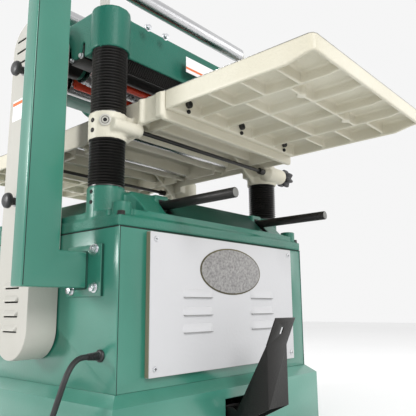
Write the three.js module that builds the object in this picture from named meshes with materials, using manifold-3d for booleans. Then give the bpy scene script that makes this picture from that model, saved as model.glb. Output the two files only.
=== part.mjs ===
// A 20 inch four-post thickness planer: welded plinth and cabinet, cast base, four columns,
// a table that rises on them, and a fixed head with the cutterhead and the feed rollers.
// Millimetres. X is the cutterhead axis, Y the feed direction (the front is -Y), Z is up,
// and the origin is on the floor under the middle of the machine.
import * as THREE from 'three';
import { mergeVertices } from 'three/addons/utils/BufferGeometryUtils.js';
import Module from 'manifold-3d';

const wasm = await Module();
wasm.setup();

// ---------------------------------------------------------------- driving dimensions
const GAP = 0.3;                 // air between parts that rest on or run in each other
const ROUND = 20;                // sides of a column and of the bores it stands in

const TABLE_HALF_WIDTH = 254;    // 20 inch table
const TABLE_HALF_LENGTH = 308;
const TABLE_TOP = 782;
const TABLE_PLATE = 18;
const TABLE_SKIRT = 722;         // lower lip of the table's side walls
const TABLE_FRONT_SKIRT = 716;
const RIM = 8;                   // wall thickness of the table castings
const EXTENSION_END = 680;
const EXTENSION_PLATE = 12;
const EXTENSION_SKIRT = 738;
const EXTENSION_END_SKIRT = 749;
const EXTENSION_RIB_BOTTOM = 744;

const COLUMN_X = 300;
const COLUMN_Y = 169;
const COLUMN_RADIUS = 28;
const COLUMN_FOOT = 480.3;
const COLUMN_TOP = 985;
const SOCKET_RADIUS = 42;
const SOCKET_TOP = 572;
const COLLAR_RADIUS = 44;
const COLLAR_BOTTOM = 679.3;
const COLLAR_TOP = 742;
const BELLOWS_RADIUS = 40;
const BELLOWS_BORE = 29.5;
const COLLAR_RECESS = 712;       // the lower bellows end up inside the collars
const BOSS_RECESS = 905;         // and the upper ones inside the bosses of the head
const HEAD_BOSS_RADIUS = 46;
const HEAD_BOSS_BOTTOM = 897;

const STAND_HALF_X = 343;
const STAND_HALF_Y = 272;
const PLINTH_LEDGE = 24;         // how far the plinth stands out past the cabinet
const PLINTH_SHOULDER = 128;
const PLINTH_TOP = 148;
const PLINTH_WALL = 6;
const CABINET_TOP = 475;
const SHEET = 3;
const SHELF_Z = 160;
const BASE_FLANGE_TOP = 498;
const BASE_STEP_TOP = 515.5;
const DECK_TOP = 567;
const DECK_HALF_X = 262;
const DECK_HALF_Y = 212;

const PANEL_HALF_X = 269;
const PANEL_BOTTOM = 172;
const PANEL_TOP = 469;
const PANEL_DEPTH = 12.7;
const LOUVRE_X = [75, 170];
const LOUVRE_Z = [332, 293, 256];

const HEAD_BOTTOM = 895;
const HEAD_TOP = 1000;
const HEAD_HALF_X = 338;
const HEAD_HALF_Y = 186;
const HEAD_INNER_X = 264;
const CUTTER_Z = 932;
const CUTTER_RADIUS = 39.7;
const FEED_Y = 84;               // feed rollers and bed rollers before and behind the cutterhead
const FEED_RADIUS = 32;
const FEED_Z = 924.3;
const BED_ROLLER_RADIUS = 20;
const RETURN_ROLLER_Y = 112;
const RETURN_ROLLER_Z = 1134;
const RETURN_ROLLER_RADIUS = 22;
const HOOD_HALF_X = 250;

const MOTOR_Z = 270;
const MOTOR_RADIUS = 95;
const MOTOR_PULLEY_RADIUS = 45;
const CUTTER_PULLEY_RADIUS = 31;
const PULLEY_X = [-402, -362];
const COVER_X = [-418, -346.3];
const COVER_RADIUS = 68;
const COVER_SHEET = 2;
const COVER_KNOB_Z = [867, 549];

const LOCK_Y = 214;
const LOCK_Z = 710;
const LOCK_ROD_RADIUS = 5;
const BAR_X = 185;
const BAR_Z = 541;
const BAR_RADIUS = 11;
const BAR_OUTER_Y = 447;
const BAR_INNER_Y = 162;

const HANDWHEEL_Y = -150;
const HANDWHEEL_Z = 960;
const HANDWHEEL_X = 445;
const HANDWHEEL_RADIUS = 91;

const POST_X = [-496, -416];
const POST_Y = [-178, -138];
const POST_BOTTOM = 352;
const POST_TOP = 1200;
const ARM_TOP = 426;
const SWITCH_BOX = { x: [-516, -396], y: [-232, -178.3], z: [1060, 1219] };

const PEDAL_HALF_WIDTH = 39;
const PEDAL_PIVOT = [-165, 70];  // y, z
const CASTER_Y = -245;
const REAR_AXLE = [245, 39.5];   // y, z

const CORD_RADIUS = 5.5;
const CORD_EXIT = [-375, -225, 218];
const COIL_CENTRE = [-487, 30];
const COIL_MEAN_RADIUS = 63;
const COIL_HEIGHT = 23;

// ---------------------------------------------------------------- finishes
const finish = (color, roughness, metalness) => () =>
  new THREE.MeshStandardMaterial({ color, roughness, metalness });
const GREEN = finish(0x2f7a66, 0.45, 0.1);
const CREAM = finish(0xcfccbd, 0.5, 0.05);
const WHITE = finish(0xe4e4e2, 0.5, 0.05);
const STEEL = finish(0x9a9c9e, 0.3, 0.9);
const DARK_STEEL = finish(0x2a2826, 0.4, 0.8);
const RUBBER = finish(0x141414, 0.8, 0);
const PLASTIC = finish(0x181818, 0.5, 0);
const RED = finish(0x9a2c18, 0.5, 0.2);
const GO_GREEN = finish(0x1d8f3a, 0.4, 0);

// ---------------------------------------------------------------- solids
function solid(geometry) {
  const bare = geometry.clone();
  bare.deleteAttribute('normal');
  bare.deleteAttribute('uv');
  const merged = mergeVertices(bare, 1e-4);
  return new wasm.Manifold(new wasm.Mesh({
    numProp: 3,
    vertProperties: new Float32Array(merged.attributes.position.array),
    triVerts: new Uint32Array(merged.index.array),
  }));
}

function box([x0, x1], [y0, y1], [z0, z1]) {
  const geometry = new THREE.BoxGeometry(x1 - x0, y1 - y0, z1 - z0);
  geometry.translate((x0 + x1) / 2, (y0 + y1) / 2, (z0 + z1) / 2);
  return solid(geometry);
}

// Turns a shape drawn in the plane across an axis, and pushed along local Z, onto that axis.
const ONTO = {
  x: new THREE.Matrix4().makeBasis(
    new THREE.Vector3(0, 1, 0), new THREE.Vector3(0, 0, 1), new THREE.Vector3(1, 0, 0)),
  y: new THREE.Matrix4().makeBasis(
    new THREE.Vector3(0, 0, 1), new THREE.Vector3(1, 0, 0), new THREE.Vector3(0, 1, 0)),
  z: new THREE.Matrix4(),
};

// A cylinder along an axis from one end to the other; centre is its place on the two other
// axes, as (y, z), (z, x) or (x, y).
function cylinder(axis, radius, [from, to], [u, v], segments = 24) {
  const geometry = new THREE.CylinderGeometry(radius, radius, to - from, segments);
  geometry.rotateX(Math.PI / 2);
  geometry.translate(u, v, (from + to) / 2);
  geometry.applyMatrix4(ONTO[axis]);
  return solid(geometry);
}

const tube = (axis, outer, inner, [from, to], centre, segments = 24) =>
  cylinder(axis, outer, [from, to], centre, segments)
    .subtract(cylinder(axis, inner, [from - 1, to + 1], centre, segments));

// A straight-sided prism: outline points are (y, z), (z, x) or (x, y), as above.
function prism(axis, outline, [from, to], curveSegments = 12) {
  const shape = outline instanceof THREE.Shape
    ? outline
    : new THREE.Shape(outline.map(([u, v]) => new THREE.Vector2(u, v)));
  const geometry = new THREE.ExtrudeGeometry(shape, {
    depth: to - from, bevelEnabled: false, curveSegments,
  });
  geometry.translate(0, 0, from);
  geometry.applyMatrix4(ONTO[axis]);
  return solid(geometry);
}

// A block whose rectangle changes from the bottom half sizes to the top half sizes.
function taper([bottomX, bottomY], [topX, topY], [z0, z1]) {
  const geometry = new THREE.BoxGeometry(2, 2, 2);
  const place = geometry.attributes.position;
  for (let i = 0; i < place.count; i += 1) {
    const top = place.getZ(i) > 0;
    place.setXYZ(i,
      place.getX(i) * (top ? topX : bottomX),
      place.getY(i) * (top ? topY : bottomY),
      top ? z1 : z0);
  }
  return solid(geometry);
}

function lathe(profile, segments = 32) {
  const geometry = new THREE.LatheGeometry(
    profile.map(([radius, along]) => new THREE.Vector2(radius, along)), segments);
  geometry.rotateX(Math.PI / 2);
  return solid(geometry);
}

const join = (first, ...others) => others.reduce((sum, next) => sum.add(next), first);
const cut = (first, ...others) => others.reduce((rest, next) => rest.subtract(next), first);
const turned = (shape, degrees) => shape.rotate(degrees);
const SIDES = [-1, 1];
const span = (sign, near, far) => (sign > 0 ? [near, far] : [-far, -near]);
const CORNERS = [
  ['front_left', -1, -1], ['front_right', 1, -1], ['rear_left', -1, 1], ['rear_right', 1, 1],
];

const planer = new THREE.Group();

function place(group, name, shape, material, position = [0, 0, 0]) {
  const { vertProperties, triVerts } = shape.getMesh();
  const geometry = new THREE.BufferGeometry();
  geometry.setAttribute('position', new THREE.BufferAttribute(vertProperties, 3));
  geometry.setIndex(new THREE.BufferAttribute(triVerts, 1));
  const mesh = new THREE.Mesh(geometry, material());
  mesh.name = name;
  mesh.position.set(...position);
  group.add(mesh);
}

function section() {
  const group = new THREE.Group();
  planer.add(group);
  return group;
}

// ---------------------------------------------------------------- stand
function plinth() {
  const outerX = STAND_HALF_X + PLINTH_LEDGE;
  const outerY = STAND_HALF_Y + PLINTH_LEDGE;
  const innerX = outerX - PLINTH_WALL;
  const innerY = outerY - PLINTH_WALL;
  let body = join(
    box([-outerX, outerX], [-outerY, outerY], [0, PLINTH_SHOULDER]),
    taper([outerX, outerY], [STAND_HALF_X, STAND_HALF_Y], [PLINTH_SHOULDER - 0.01, PLINTH_TOP]));
  body = cut(body,
    box([-innerX, innerX], [-innerY, innerY], [-1, PLINTH_SHOULDER - 4]),
    box([-325, 325], [-254, 254], [PLINTH_SHOULDER - 5, PLINTH_TOP + 1]));
  const crossbar = box([-innerX - 1, innerX + 1], [-192, -138], [104, 124]);
  body = join(body, crossbar);
  for (const side of SIDES) {
    const [y, z] = PEDAL_PIVOT;
    body = join(body, box(span(side, 46, 54), [y - 22, y + 22], [46, 110]));
    body = join(body, box(span(side, 278, 286), [205, innerY + 1], [16, 126]));
    for (const end of SIDES) {
      body = join(body, box(span(side, 296, innerX + 1), span(end, 220, innerY + 1), [0, 6]));
    }
    body = cut(body, cylinder('x', 8.3, span(side, 40, 60), [y, z]));
    body = cut(body, cylinder('x', 7.3, span(side, 274, 290), REAR_AXLE, 12));
  }
  return cut(body, box([-45, 45], [-outerY - 1, -innerY + 1], [12, 106]));
}

function cabinet() {
  const innerX = STAND_HALF_X - SHEET;
  const innerY = STAND_HALF_Y - SHEET;
  const walls = cut(
    box([-STAND_HALF_X, STAND_HALF_X], [-STAND_HALF_Y, STAND_HALF_Y],
      [PLINTH_TOP + GAP, CABINET_TOP]),
    box([-innerX, innerX], [-innerY, innerY], [PLINTH_TOP - 1, CABINET_TOP + 1]));
  const shelf = box([-innerX - 1, innerX + 1], [-innerY - 1, innerY + 1], [SHELF_Z, SHELF_Z + 5]);
  return cut(join(walls, shelf),
    box([-235, 235], [-STAND_HALF_Y - 1, -innerY + 1], [195, 445]),
    cylinder('x', 30, [-STAND_HALF_X - 1, -innerX + 1], [0, MOTOR_Z]),
    cylinder('z', 60, [SHELF_Z - 1, SHELF_Z + 6], [210, 120]));
}

function frontPanel() {
  const back = -STAND_HALF_Y - GAP;
  const front = back - PANEL_DEPTH;
  let tray = cut(
    box([-PANEL_HALF_X, PANEL_HALF_X], [front, back], [PANEL_BOTTOM, PANEL_TOP]),
    box([-PANEL_HALF_X + 2, PANEL_HALF_X - 2], [front + 2, back + 1],
      [PANEL_BOTTOM + 2, PANEL_TOP - 2]));
  for (const side of SIDES) {
    for (const z of LOUVRE_Z) {
      tray = cut(tray, box(span(side, ...LOUVRE_X), [front - 1, front + 3], [z, z + 6]));
    }
  }
  return tray;
}

function baseCasting() {
  const wall = 14;
  let body = join(
    box([-STAND_HALF_X, STAND_HALF_X], [-STAND_HALF_Y, STAND_HALF_Y],
      [CABINET_TOP + GAP, BASE_FLANGE_TOP]),
    box([-STAND_HALF_X + 4, STAND_HALF_X - 4], [-STAND_HALF_Y + 4, STAND_HALF_Y - 4],
      [BASE_FLANGE_TOP - 1, BASE_STEP_TOP]));
  for (const [, sx, sy] of CORNERS) {
    body = cut(body, box(span(sx, COLUMN_X, 400), span(sy, 227, 400),
      [BASE_FLANGE_TOP, BASE_STEP_TOP + 1]));
  }
  const deck = taper([STAND_HALF_X - 14, STAND_HALF_Y - 10], [DECK_HALF_X, DECK_HALF_Y],
    [BASE_STEP_TOP - 1, DECK_TOP]);
  body = join(body, deck);
  body = cut(body,
    taper([STAND_HALF_X - 14 - wall, STAND_HALF_Y - 10 - wall],
      [DECK_HALF_X - wall, DECK_HALF_Y - wall], [BASE_STEP_TOP - 2, DECK_TOP + 1]),
    box([-STAND_HALF_X + 31, STAND_HALF_X - 31], [-STAND_HALF_Y + 27, STAND_HALF_Y - 27],
      [CABINET_TOP, BASE_STEP_TOP - 1.2]));
  for (const [, sx, sy] of CORNERS) {
    // the deck's corner is scooped out round the bolt boss, with a wall behind it
    const scoop = [sx * 318, sy * 246];
    body = cut(body, cylinder('z', 58, [514.4, DECK_TOP + 2], scoop, ROUND));
    body = join(body,
      tube('z', 67, 58, [510, DECK_TOP + 2], scoop, ROUND).intersect(deck),
      cylinder('z', SOCKET_RADIUS, [CABINET_TOP + GAP, SOCKET_TOP],
        [sx * COLUMN_X, sy * COLUMN_Y], ROUND),
      cylinder('z', 20.5, [CABINET_TOP + GAP, 529], [sx * 317.5, sy * 246.5], 12),
      box(span(sx, 255, 331), span(sy, 184, 227.5), [497, 514]),
      box(span(sx, 255, 300.5), span(sy, 227, 258), [497, 514]));
    body = cut(body, cylinder('z', COLUMN_RADIUS + GAP, [COLUMN_FOOT - GAP, SOCKET_TOP + 1],
      [sx * COLUMN_X, sy * COLUMN_Y], ROUND));
    body = cut(body, box([sx * BAR_X - 12.5, sx * BAR_X + 12.5], span(sy, 228, 280), [516.5, 556]));
    body = join(body,
      cylinder('y', 19, span(sy, 150, 231), [BAR_Z, sx * BAR_X], 12),
      box([sx * BAR_X - 21, sx * BAR_X + 21], span(sy, 200, 230), [526, DECK_TOP - 1]));
    body = cut(body, cylinder('y', BAR_RADIUS + GAP, span(sy, 140, 240), [BAR_Z, sx * BAR_X], 12));
  }
  const crossWeb = box([-BAR_X - 12, BAR_X + 12], [-6, 6], [CABINET_TOP + GAP, 520]);
  const sideWebs = SIDES.map((side) =>
    box(span(side, BAR_X - 8, BAR_X + 8), [-STAND_HALF_Y + 20, STAND_HALF_Y - 20],
      [CABINET_TOP + GAP, 520]));
  return join(body, crossWeb, ...sideWebs);
}

function stand() {
  const group = section();
  place(group, 'base_plinth', plinth(), GREEN);
  place(group, 'stand_cabinet', cabinet(), GREEN);
  place(group, 'front_panel', frontPanel(), WHITE);
  place(group, 'base_casting', baseCasting(), GREEN);
  for (const [corner, sx, sy] of CORNERS) {
    const bar = cylinder('y', BAR_RADIUS, span(sy, BAR_INNER_Y, BAR_OUTER_Y), [0, 0], 12);
    place(group, `lifting_bar_${corner}`, bar, DARK_STEEL, [sx * BAR_X, 0, BAR_Z]);
  }
}

// ---------------------------------------------------------------- mobile base
function pedal() {
  const side = [[-411, 95], [-330, 55], [-160, 50], [-150, 70], [-160, 88], [-312, 88],
    [-323, 82], [-409, 228]];
  const inner = PEDAL_HALF_WIDTH - SHEET;
  const pad = prism('x', [[-411, 226], [-408, 228], [-434, 287], [-437, 286]],
    [-PEDAL_HALF_WIDTH, PEDAL_HALF_WIDTH]);
  const plate = box([-PEDAL_HALF_WIDTH, PEDAL_HALF_WIDTH], [-411, -408], [95, 228]);
  const pin = cylinder('x', 8, [-60, 60], PEDAL_PIVOT);
  const casterPlate = box([-inner - 1, inner + 1], [CASTER_Y - 30, CASTER_Y + 30], [80, 86]);
  const slot = prism('y', [[251, -5], [266, -5], [266, 5], [251, 5]], [-440, -400]);
  const sides = SIDES.map((sign) => prism('x', side, span(sign, inner, PEDAL_HALF_WIDTH)));
  return cut(join(plate, pad, pin, casterPlate, ...sides), slot);
}

const CASTER_WHEEL = [CASTER_Y + 16, 25.3];   // y, z

function casterFork() {
  const [wheelY, wheelZ] = CASTER_WHEEL;
  const trail = wheelY - CASTER_Y;
  const crown = cylinder('z', 20, [62, 70], [0, 0], 20);
  const stem = cylinder('z', 12, [69, 80 - GAP], [0, 0], 16);
  const legs = SIDES.map((side) => prism('x',
    [[trail - 7, wheelZ - 7], [trail + 7, wheelZ - 7], [12, 66], [-12, 66]],
    span(side, 11, 15)));
  return cut(join(crown, stem, ...legs), cylinder('x', 4.3, [-20, 20], [trail, wheelZ], 12));
}

const casterWheel = () => join(
  cylinder('x', 22, [-9, 9], [0, 0], 24),
  cylinder('x', 4, [-16, 16], [0, 0], 12));

function rearWheels() {
  const axle = cylinder('x', 7, [-292, 292], REAR_AXLE, 12);
  const wheels = SIDES.map((side) => cylinder('x', 38, span(side, 240, 272), REAR_AXLE, 24));
  return join(axle, ...wheels);
}

function mobileBase() {
  const group = section();
  place(group, 'foot_pedal', pedal(), DARK_STEEL);
  place(group, 'caster_fork', casterFork(), STEEL, [0, CASTER_Y, 0]);
  place(group, 'caster_wheel', casterWheel(), PLASTIC, [0, ...CASTER_WHEEL]);
  place(group, 'rear_wheel_axle', rearWheels(), PLASTIC);
}

// ---------------------------------------------------------------- columns and bellows
function columns() {
  const group = section();
  const column = cylinder('z', COLUMN_RADIUS, [COLUMN_FOOT, COLUMN_TOP], [0, 0], ROUND);
  const lower = tube('z', BELLOWS_RADIUS, BELLOWS_BORE,
    [SOCKET_TOP + GAP, COLLAR_RECESS - GAP], [0, 0], ROUND);
  const upper = tube('z', BELLOWS_RADIUS, BELLOWS_BORE,
    [COLLAR_TOP + GAP, BOSS_RECESS - GAP], [0, 0], ROUND);
  for (const [corner, sx, sy] of CORNERS) {
    const at = [sx * COLUMN_X, sy * COLUMN_Y, 0];
    place(group, `column_${corner}`, column, STEEL, at);
    place(group, `lower_bellows_${corner}`, lower, RUBBER, at);
    place(group, `upper_bellows_${corner}`, upper, RUBBER, at);
  }
}

// ---------------------------------------------------------------- table
function mainTable() {
  const plateBottom = TABLE_TOP - TABLE_PLATE;
  const x = TABLE_HALF_WIDTH;
  const y = TABLE_HALF_LENGTH;
  let body = box([-x, x], [-y, y], [plateBottom, TABLE_TOP]);
  for (const side of SIDES) {
    body = join(body,
      box(span(side, x - RIM, x), [-y, y], [TABLE_SKIRT, plateBottom + 1]),
      box(span(side, 196, 204), [-y + 10, y - 10], [TABLE_SKIRT, plateBottom + 1]),
      box([-x, x], span(side, y - 12, y), [TABLE_FRONT_SKIRT, plateBottom + 1]));
    for (const rib of [FEED_Y - 32, FEED_Y + 32, 200]) {
      body = join(body, box([-x, x], span(side, rib - 4, rib + 4), [735, plateBottom + 1]));
    }
  }
  for (const [, sx, sy] of CORNERS) {
    const [cx, cy] = [sx * COLUMN_X, sy * COLUMN_Y];
    const web = prism('y',
      [[plateBottom + 1, sx * 140], [plateBottom + 1, sx * 250], [690, sx * 268], [684, sx * 254]],
      [cy - 4, cy + 4]);
    body = join(body,
      cylinder('z', COLLAR_RADIUS, [COLLAR_BOTTOM, COLLAR_TOP], [cx, cy], ROUND),
      box(span(sx, x - RIM, 285), [cy - 34, cy + 34], [702, COLLAR_TOP]),
      web);
    const barrel = sx < 0
      ? cylinder('x', 15, [-322, -242], [sy * LOCK_Y, LOCK_Z], 16)
      : cylinder('x', 23, [262, 340], [sy * LOCK_Y, LOCK_Z], 20);
    const boreEnds = sx < 0 ? [-323, -200] : [200, 350];
    body = join(body, barrel);
    body = cut(body,
      cylinder('z', COLUMN_RADIUS + 0.4, [COLLAR_BOTTOM - 20, COLLAR_TOP + 30], [cx, cy], ROUND),
      cylinder('z', BELLOWS_RADIUS + 1, [COLLAR_BOTTOM - 20, COLLAR_RECESS], [cx, cy], ROUND),
      cylinder('x', LOCK_ROD_RADIUS + GAP, boreEnds, [sy * LOCK_Y, LOCK_Z], 12));
  }
  for (const side of SIDES) {
    const rollerZ = bedRollerZ();
    for (const end of SIDES) {
      body = join(body, box(span(end, 231, x - RIM + 1), [side * FEED_Y - 18, side * FEED_Y + 18],
        [745, plateBottom + 1]));
    }
    body = cut(body,
      box([-232, 232], [side * FEED_Y - 24, side * FEED_Y + 24], [700, TABLE_TOP + 1]),
      cylinder('x', 8 + GAP, [-242, 242], [side * FEED_Y, rollerZ], 12));
  }
  return body;
}

const bedRollerZ = () => TABLE_TOP + 0.5 - BED_ROLLER_RADIUS;

function bedRoller() {
  return join(
    cylinder('x', BED_ROLLER_RADIUS, [-229, 229], [0, 0], 28),
    cylinder('x', 8, [-240, 240], [0, 0], 12));
}

// The front extension; the rear one is the same casting turned half round.
function extension() {
  const x = TABLE_HALF_WIDTH;
  const near = -TABLE_HALF_LENGTH - GAP;
  const far = -EXTENSION_END;
  const plateBottom = TABLE_TOP - EXTENSION_PLATE;
  const outline = [[near, EXTENSION_SKIRT], [near, TABLE_TOP], [far, TABLE_TOP],
    [far, EXTENSION_END_SKIRT], [far + 24, EXTENSION_END_SKIRT - 3], [far + 60, EXTENSION_SKIRT]];
  const corner = 12;
  const plan = new THREE.Shape();
  plan.moveTo(-x, near);
  plan.lineTo(-x, far + corner);
  plan.absarc(-x + corner, far + corner, corner, Math.PI, Math.PI * 1.5, false);
  plan.absarc(x - corner, far + corner, corner, Math.PI * 1.5, Math.PI * 2, false);
  plan.lineTo(x, near);
  let body = prism('x', outline, [-x, x]).intersect(prism('z', plan, [700, TABLE_TOP + 1], 5));
  const rib = 6;
  const columnsX = [-x + RIM, -148, -51, 51, 148, x - RIM];
  const sideRows = [far + RIM, -587, -502, -417, near - 14];
  const middleRows = [far + RIM, -559, -444, near - 14];
  for (let bay = 0; bay < columnsX.length - 1; bay += 1) {
    const outer = bay === 0 || bay === columnsX.length - 2;
    const rows = outer ? sideRows : middleRows;
    for (let row = 0; row < rows.length - 1; row += 1) {
      const left = columnsX[bay] + (bay === 0 ? 0 : rib / 2);
      const right = columnsX[bay + 1] - (bay === columnsX.length - 2 ? 0 : rib / 2);
      const low = rows[row] + (row === 0 ? 0 : rib / 2);
      const high = rows[row + 1] - (row === rows.length - 2 ? 0 : rib / 2);
      body = cut(body, box([left, right], [low, high], [700, plateBottom]));
    }
  }
  body = cut(body, box([-x + RIM, x - RIM], [far + RIM, near - 14], [700, EXTENSION_RIB_BOTTOM]));
  for (const side of SIDES) {
    body = join(body, cylinder('z', 11, [EXTENSION_RIB_BOTTOM - 2, plateBottom + 1],
      [side * 100, -559], 16));
  }
  return body;
}

function lockRod() {
  const knobStart = 345;
  const lobes = 7;
  let knob = cylinder('x', 17, [knobStart, knobStart + 34], [0, 0], 21);
  for (let lobe = 0; lobe < lobes; lobe += 1) {
    const angle = (lobe / lobes) * Math.PI * 2;
    knob = join(knob, cylinder('x', 8.5, [knobStart + 6, knobStart + 30],
      [19 * Math.cos(angle), 19 * Math.sin(angle)], 10));
  }
  return join(
    cylinder('x', LOCK_ROD_RADIUS, [-330, knobStart + 2], [0, 0], 12),
    cylinder('x', 9, [226, 262 - GAP], [0, 0], 16),
    cylinder('x', 9, [340 + GAP, knobStart + 1], [0, 0], 16),
    knob);
}

function table() {
  const group = section();
  place(group, 'main_table', mainTable(), CREAM);
  place(group, 'front_extension', extension(), CREAM);
  place(group, 'rear_extension', turned(extension(), [0, 0, 180]), CREAM);
  for (const [end, side] of [['front', -1], ['rear', 1]]) {
    place(group, `${end}_bed_roller`, bedRoller(), STEEL, [0, side * FEED_Y, bedRollerZ()]);
    place(group, `${end}_table_lock`, lockRod(), DARK_STEEL, [0, side * LOCK_Y, LOCK_Z]);
  }
}

// ---------------------------------------------------------------- head
function headCasting() {
  let body = box([-HEAD_INNER_X - 6, HEAD_INNER_X + 6], [-HEAD_HALF_Y - 6, -HEAD_HALF_Y],
    [HEAD_BOTTOM - 1, HEAD_TOP - 5]);
  body = join(body,
    box([-HEAD_INNER_X - 6, HEAD_INNER_X + 6], [-HEAD_HALF_Y - 1, -152], [984, HEAD_TOP - 5]),
    box([-HEAD_INNER_X - 6, HEAD_INNER_X + 6], [158, HEAD_HALF_Y], [925, HEAD_TOP]));
  for (const side of SIDES) {
    body = join(body, cut(
      box(span(side, HEAD_INNER_X, HEAD_HALF_X), [-HEAD_HALF_Y, HEAD_HALF_Y],
        [HEAD_BOTTOM, HEAD_TOP]),
      box(span(side, HEAD_INNER_X + 10, HEAD_HALF_X - 8), [-118, 118],
        [HEAD_BOTTOM - 1, HEAD_TOP - 10]),
      box(span(side, HEAD_HALF_X - 9, HEAD_HALF_X + 1), [-118, 118], [HEAD_BOTTOM - 1, 934]),
      box(span(side, HEAD_INNER_X - 1, HEAD_INNER_X + 11), [-118, 118], [HEAD_BOTTOM - 1, 916])));
    for (const end of SIDES) {
      body = join(body, cylinder('x', 24, span(side, HEAD_INNER_X, HEAD_HALF_X),
        [end * FEED_Y, FEED_Z], 12));
    }
    body = join(body, cylinder('x', 34, span(side, HEAD_INNER_X, HEAD_HALF_X), [0, CUTTER_Z], 16));
  }
  for (const [, sx, sy] of CORNERS) {
    const at = [sx * COLUMN_X, sy * COLUMN_Y];
    body = join(body, cylinder('z', HEAD_BOSS_RADIUS, [HEAD_BOSS_BOTTOM, HEAD_TOP], at, ROUND));
    body = cut(body,
      cylinder('z', COLUMN_RADIUS + GAP, [HEAD_BOSS_BOTTOM - 5, COLUMN_TOP + GAP], at, ROUND),
      cylinder('z', BELLOWS_RADIUS + 1, [HEAD_BOSS_BOTTOM - 5, BOSS_RECESS], at, ROUND));
  }
  body = join(body, cylinder('x', 22, [HEAD_HALF_X - 2, 396], [HANDWHEEL_Y, HANDWHEEL_Z], 20));
  body = cut(body, cylinder('x', 10 + GAP, [352, 400], [HANDWHEEL_Y, HANDWHEEL_Z], 16));
  for (const end of SIDES) {
    body = cut(body, cylinder('x', 13 + GAP, [-324, 400], [end * FEED_Y, FEED_Z], 16));
  }
  return cut(body,
    box([-HEAD_INNER_X, HEAD_INNER_X], [-150, 157], [HEAD_BOTTOM - 2, HEAD_TOP + 1]),
    cylinder('x', 17 + GAP, [-400, 334], [0, CUTTER_Z], 20),
    cylinder('x', 6.7, [-272, 272], KICKBACK_PIVOT, 10),
    cylinder('x', 6.7, [-272, 272], BREAKER_PIVOT, 10));
}

const KICKBACK_PIVOT = [-158, 946];   // y, z
const BREAKER_PIVOT = [-47, 984];     // y, z

function kickbackFingers() {
  const [y, z] = KICKBACK_PIVOT;
  const pitch = 20;
  const finger = [[y - 9, z + 2], [y + 4, z + 9], [y + 9, z - 2], [y + 28, 891], [y + 21, 890],
    [y - 4, z - 26]];
  let comb = cylinder('x', 6, [-270, 270], [y, z], 10);
  for (let x = -255 + pitch / 2; x < 255; x += pitch) {
    comb = join(comb, prism('x', finger, [x - 6, x + 6]));
  }
  return comb;
}

function chipBreaker() {
  const [y, z] = BREAKER_PIVOT;
  const blade = [[y - 3, z], [y + 3, z], [-44.5, 950], [-44.5, 907], [-34, 901], [-38, 892.8],
    [-50, 892.8], [-52, 900], [-48.5, 908], [-48.5, 950]];
  return join(cylinder('x', 6, [-270, 270], [y, z], 10), prism('x', blade, [-252, 252]));
}

function feedRoller(radius, segments) {
  return join(
    cylinder('x', radius, [-254, 254], [0, 0], segments),
    cylinder('x', 13, [-322, 384], [0, 0], 16));
}

const pulley = (radius) => {
  const [from, to] = PULLEY_X;
  return join(
    cylinder('x', radius - 7, [from, to], [0, 0], 24),
    cylinder('x', radius, [from, from + 2.5], [0, 0], 24),
    cylinder('x', radius, [to - 2.5, to], [0, 0], 24));
};

function cutterhead() {
  return join(
    cylinder('x', CUTTER_RADIUS, [-256, 256], [0, 0], 36),
    cylinder('x', 17, [-404, 332], [0, 0], 20),
    pulley(CUTTER_PULLEY_RADIUS));
}

// The loop round both pulleys, at a distance outside the bottom of their grooves.
function beltLoop(outside, [from, to]) {
  const low = MOTOR_PULLEY_RADIUS - 7 + outside;
  const high = CUTTER_PULLEY_RADIUS - 7 + outside;
  const lean = Math.asin((low - high) / (CUTTER_Z - MOTOR_Z));
  const loop = new THREE.Shape();
  loop.absarc(0, MOTOR_Z, low, Math.PI - lean, Math.PI * 2 + lean, false);
  loop.absarc(0, CUTTER_Z, high, lean, Math.PI - lean, false);
  return prism('x', loop, [from, to], 10);
}

function driveBelt() {
  const [from, to] = PULLEY_X;
  return cut(beltLoop(8, [from + 3, to - 3]), beltLoop(GAP, [from, to]));
}

function beltCover() {
  const [outer, inner] = COVER_X;
  const outline = (radius) => {
    const shape = new THREE.Shape();
    shape.absarc(0, MOTOR_Z - 2, radius, Math.PI, Math.PI * 2, false);
    shape.absarc(0, CUTTER_Z, radius, 0, Math.PI, false);
    return shape;
  };
  let shell = cut(
    prism('x', outline(COVER_RADIUS), [outer, inner], 14),
    prism('x', outline(COVER_RADIUS - COVER_SHEET), [outer + COVER_SHEET, inner + 1], 14));
  for (const z of [899, 929, 958]) {
    shell = cut(shell, box([outer - 1, outer + 3], [-50, 50], [z - 3, z + 3]));
  }
  for (const z of COVER_KNOB_Z) {
    shell = cut(shell, cylinder('x', 5.3, [outer - 1, outer + 3], [0, z], 12));
  }
  return shell;
}

function coverKnob() {
  const [outer] = COVER_X;
  return join(
    cylinder('x', 5, [outer - 8, outer + 30], [0, 0], 12),
    cylinder('x', 9, [outer - 18, outer - GAP], [0, 0], 16),
    cylinder('x', 18, [outer - 32, outer - 18], [0, 0], 20));
}

// A closed shell over the feed chain, open towards the head.
function gearCase() {
  const [near, far] = [HEAD_HALF_X + GAP, 430];
  const outline = (inset) => {
    const shape = new THREE.Shape();
    const [y0, y1, z0, z1, corner] = [-118 + inset, 122 - inset, 868 + inset, 992 - inset, 24];
    shape.absarc(y0 + corner, z0 + corner, corner, Math.PI, Math.PI * 1.5, false);
    shape.absarc(y1 - corner, z0 + corner, corner, Math.PI * 1.5, Math.PI * 2, false);
    shape.absarc(y1 - corner, z1 - corner, corner, 0, Math.PI / 2, false);
    shape.absarc(y0 + corner, z1 - corner, corner, Math.PI / 2, Math.PI, false);
    return shape;
  };
  const shell = cut(prism('x', outline(0), [near, far], 5),
    prism('x', outline(4), [near - 1, far - 4], 5));
  return cut(shell, cylinder('x', 6.3, [far - 6, far + 1], FEED_KNOB_AT, 16));
}

const FEED_KNOB_AT = [40, 935];       // y, z

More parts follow.
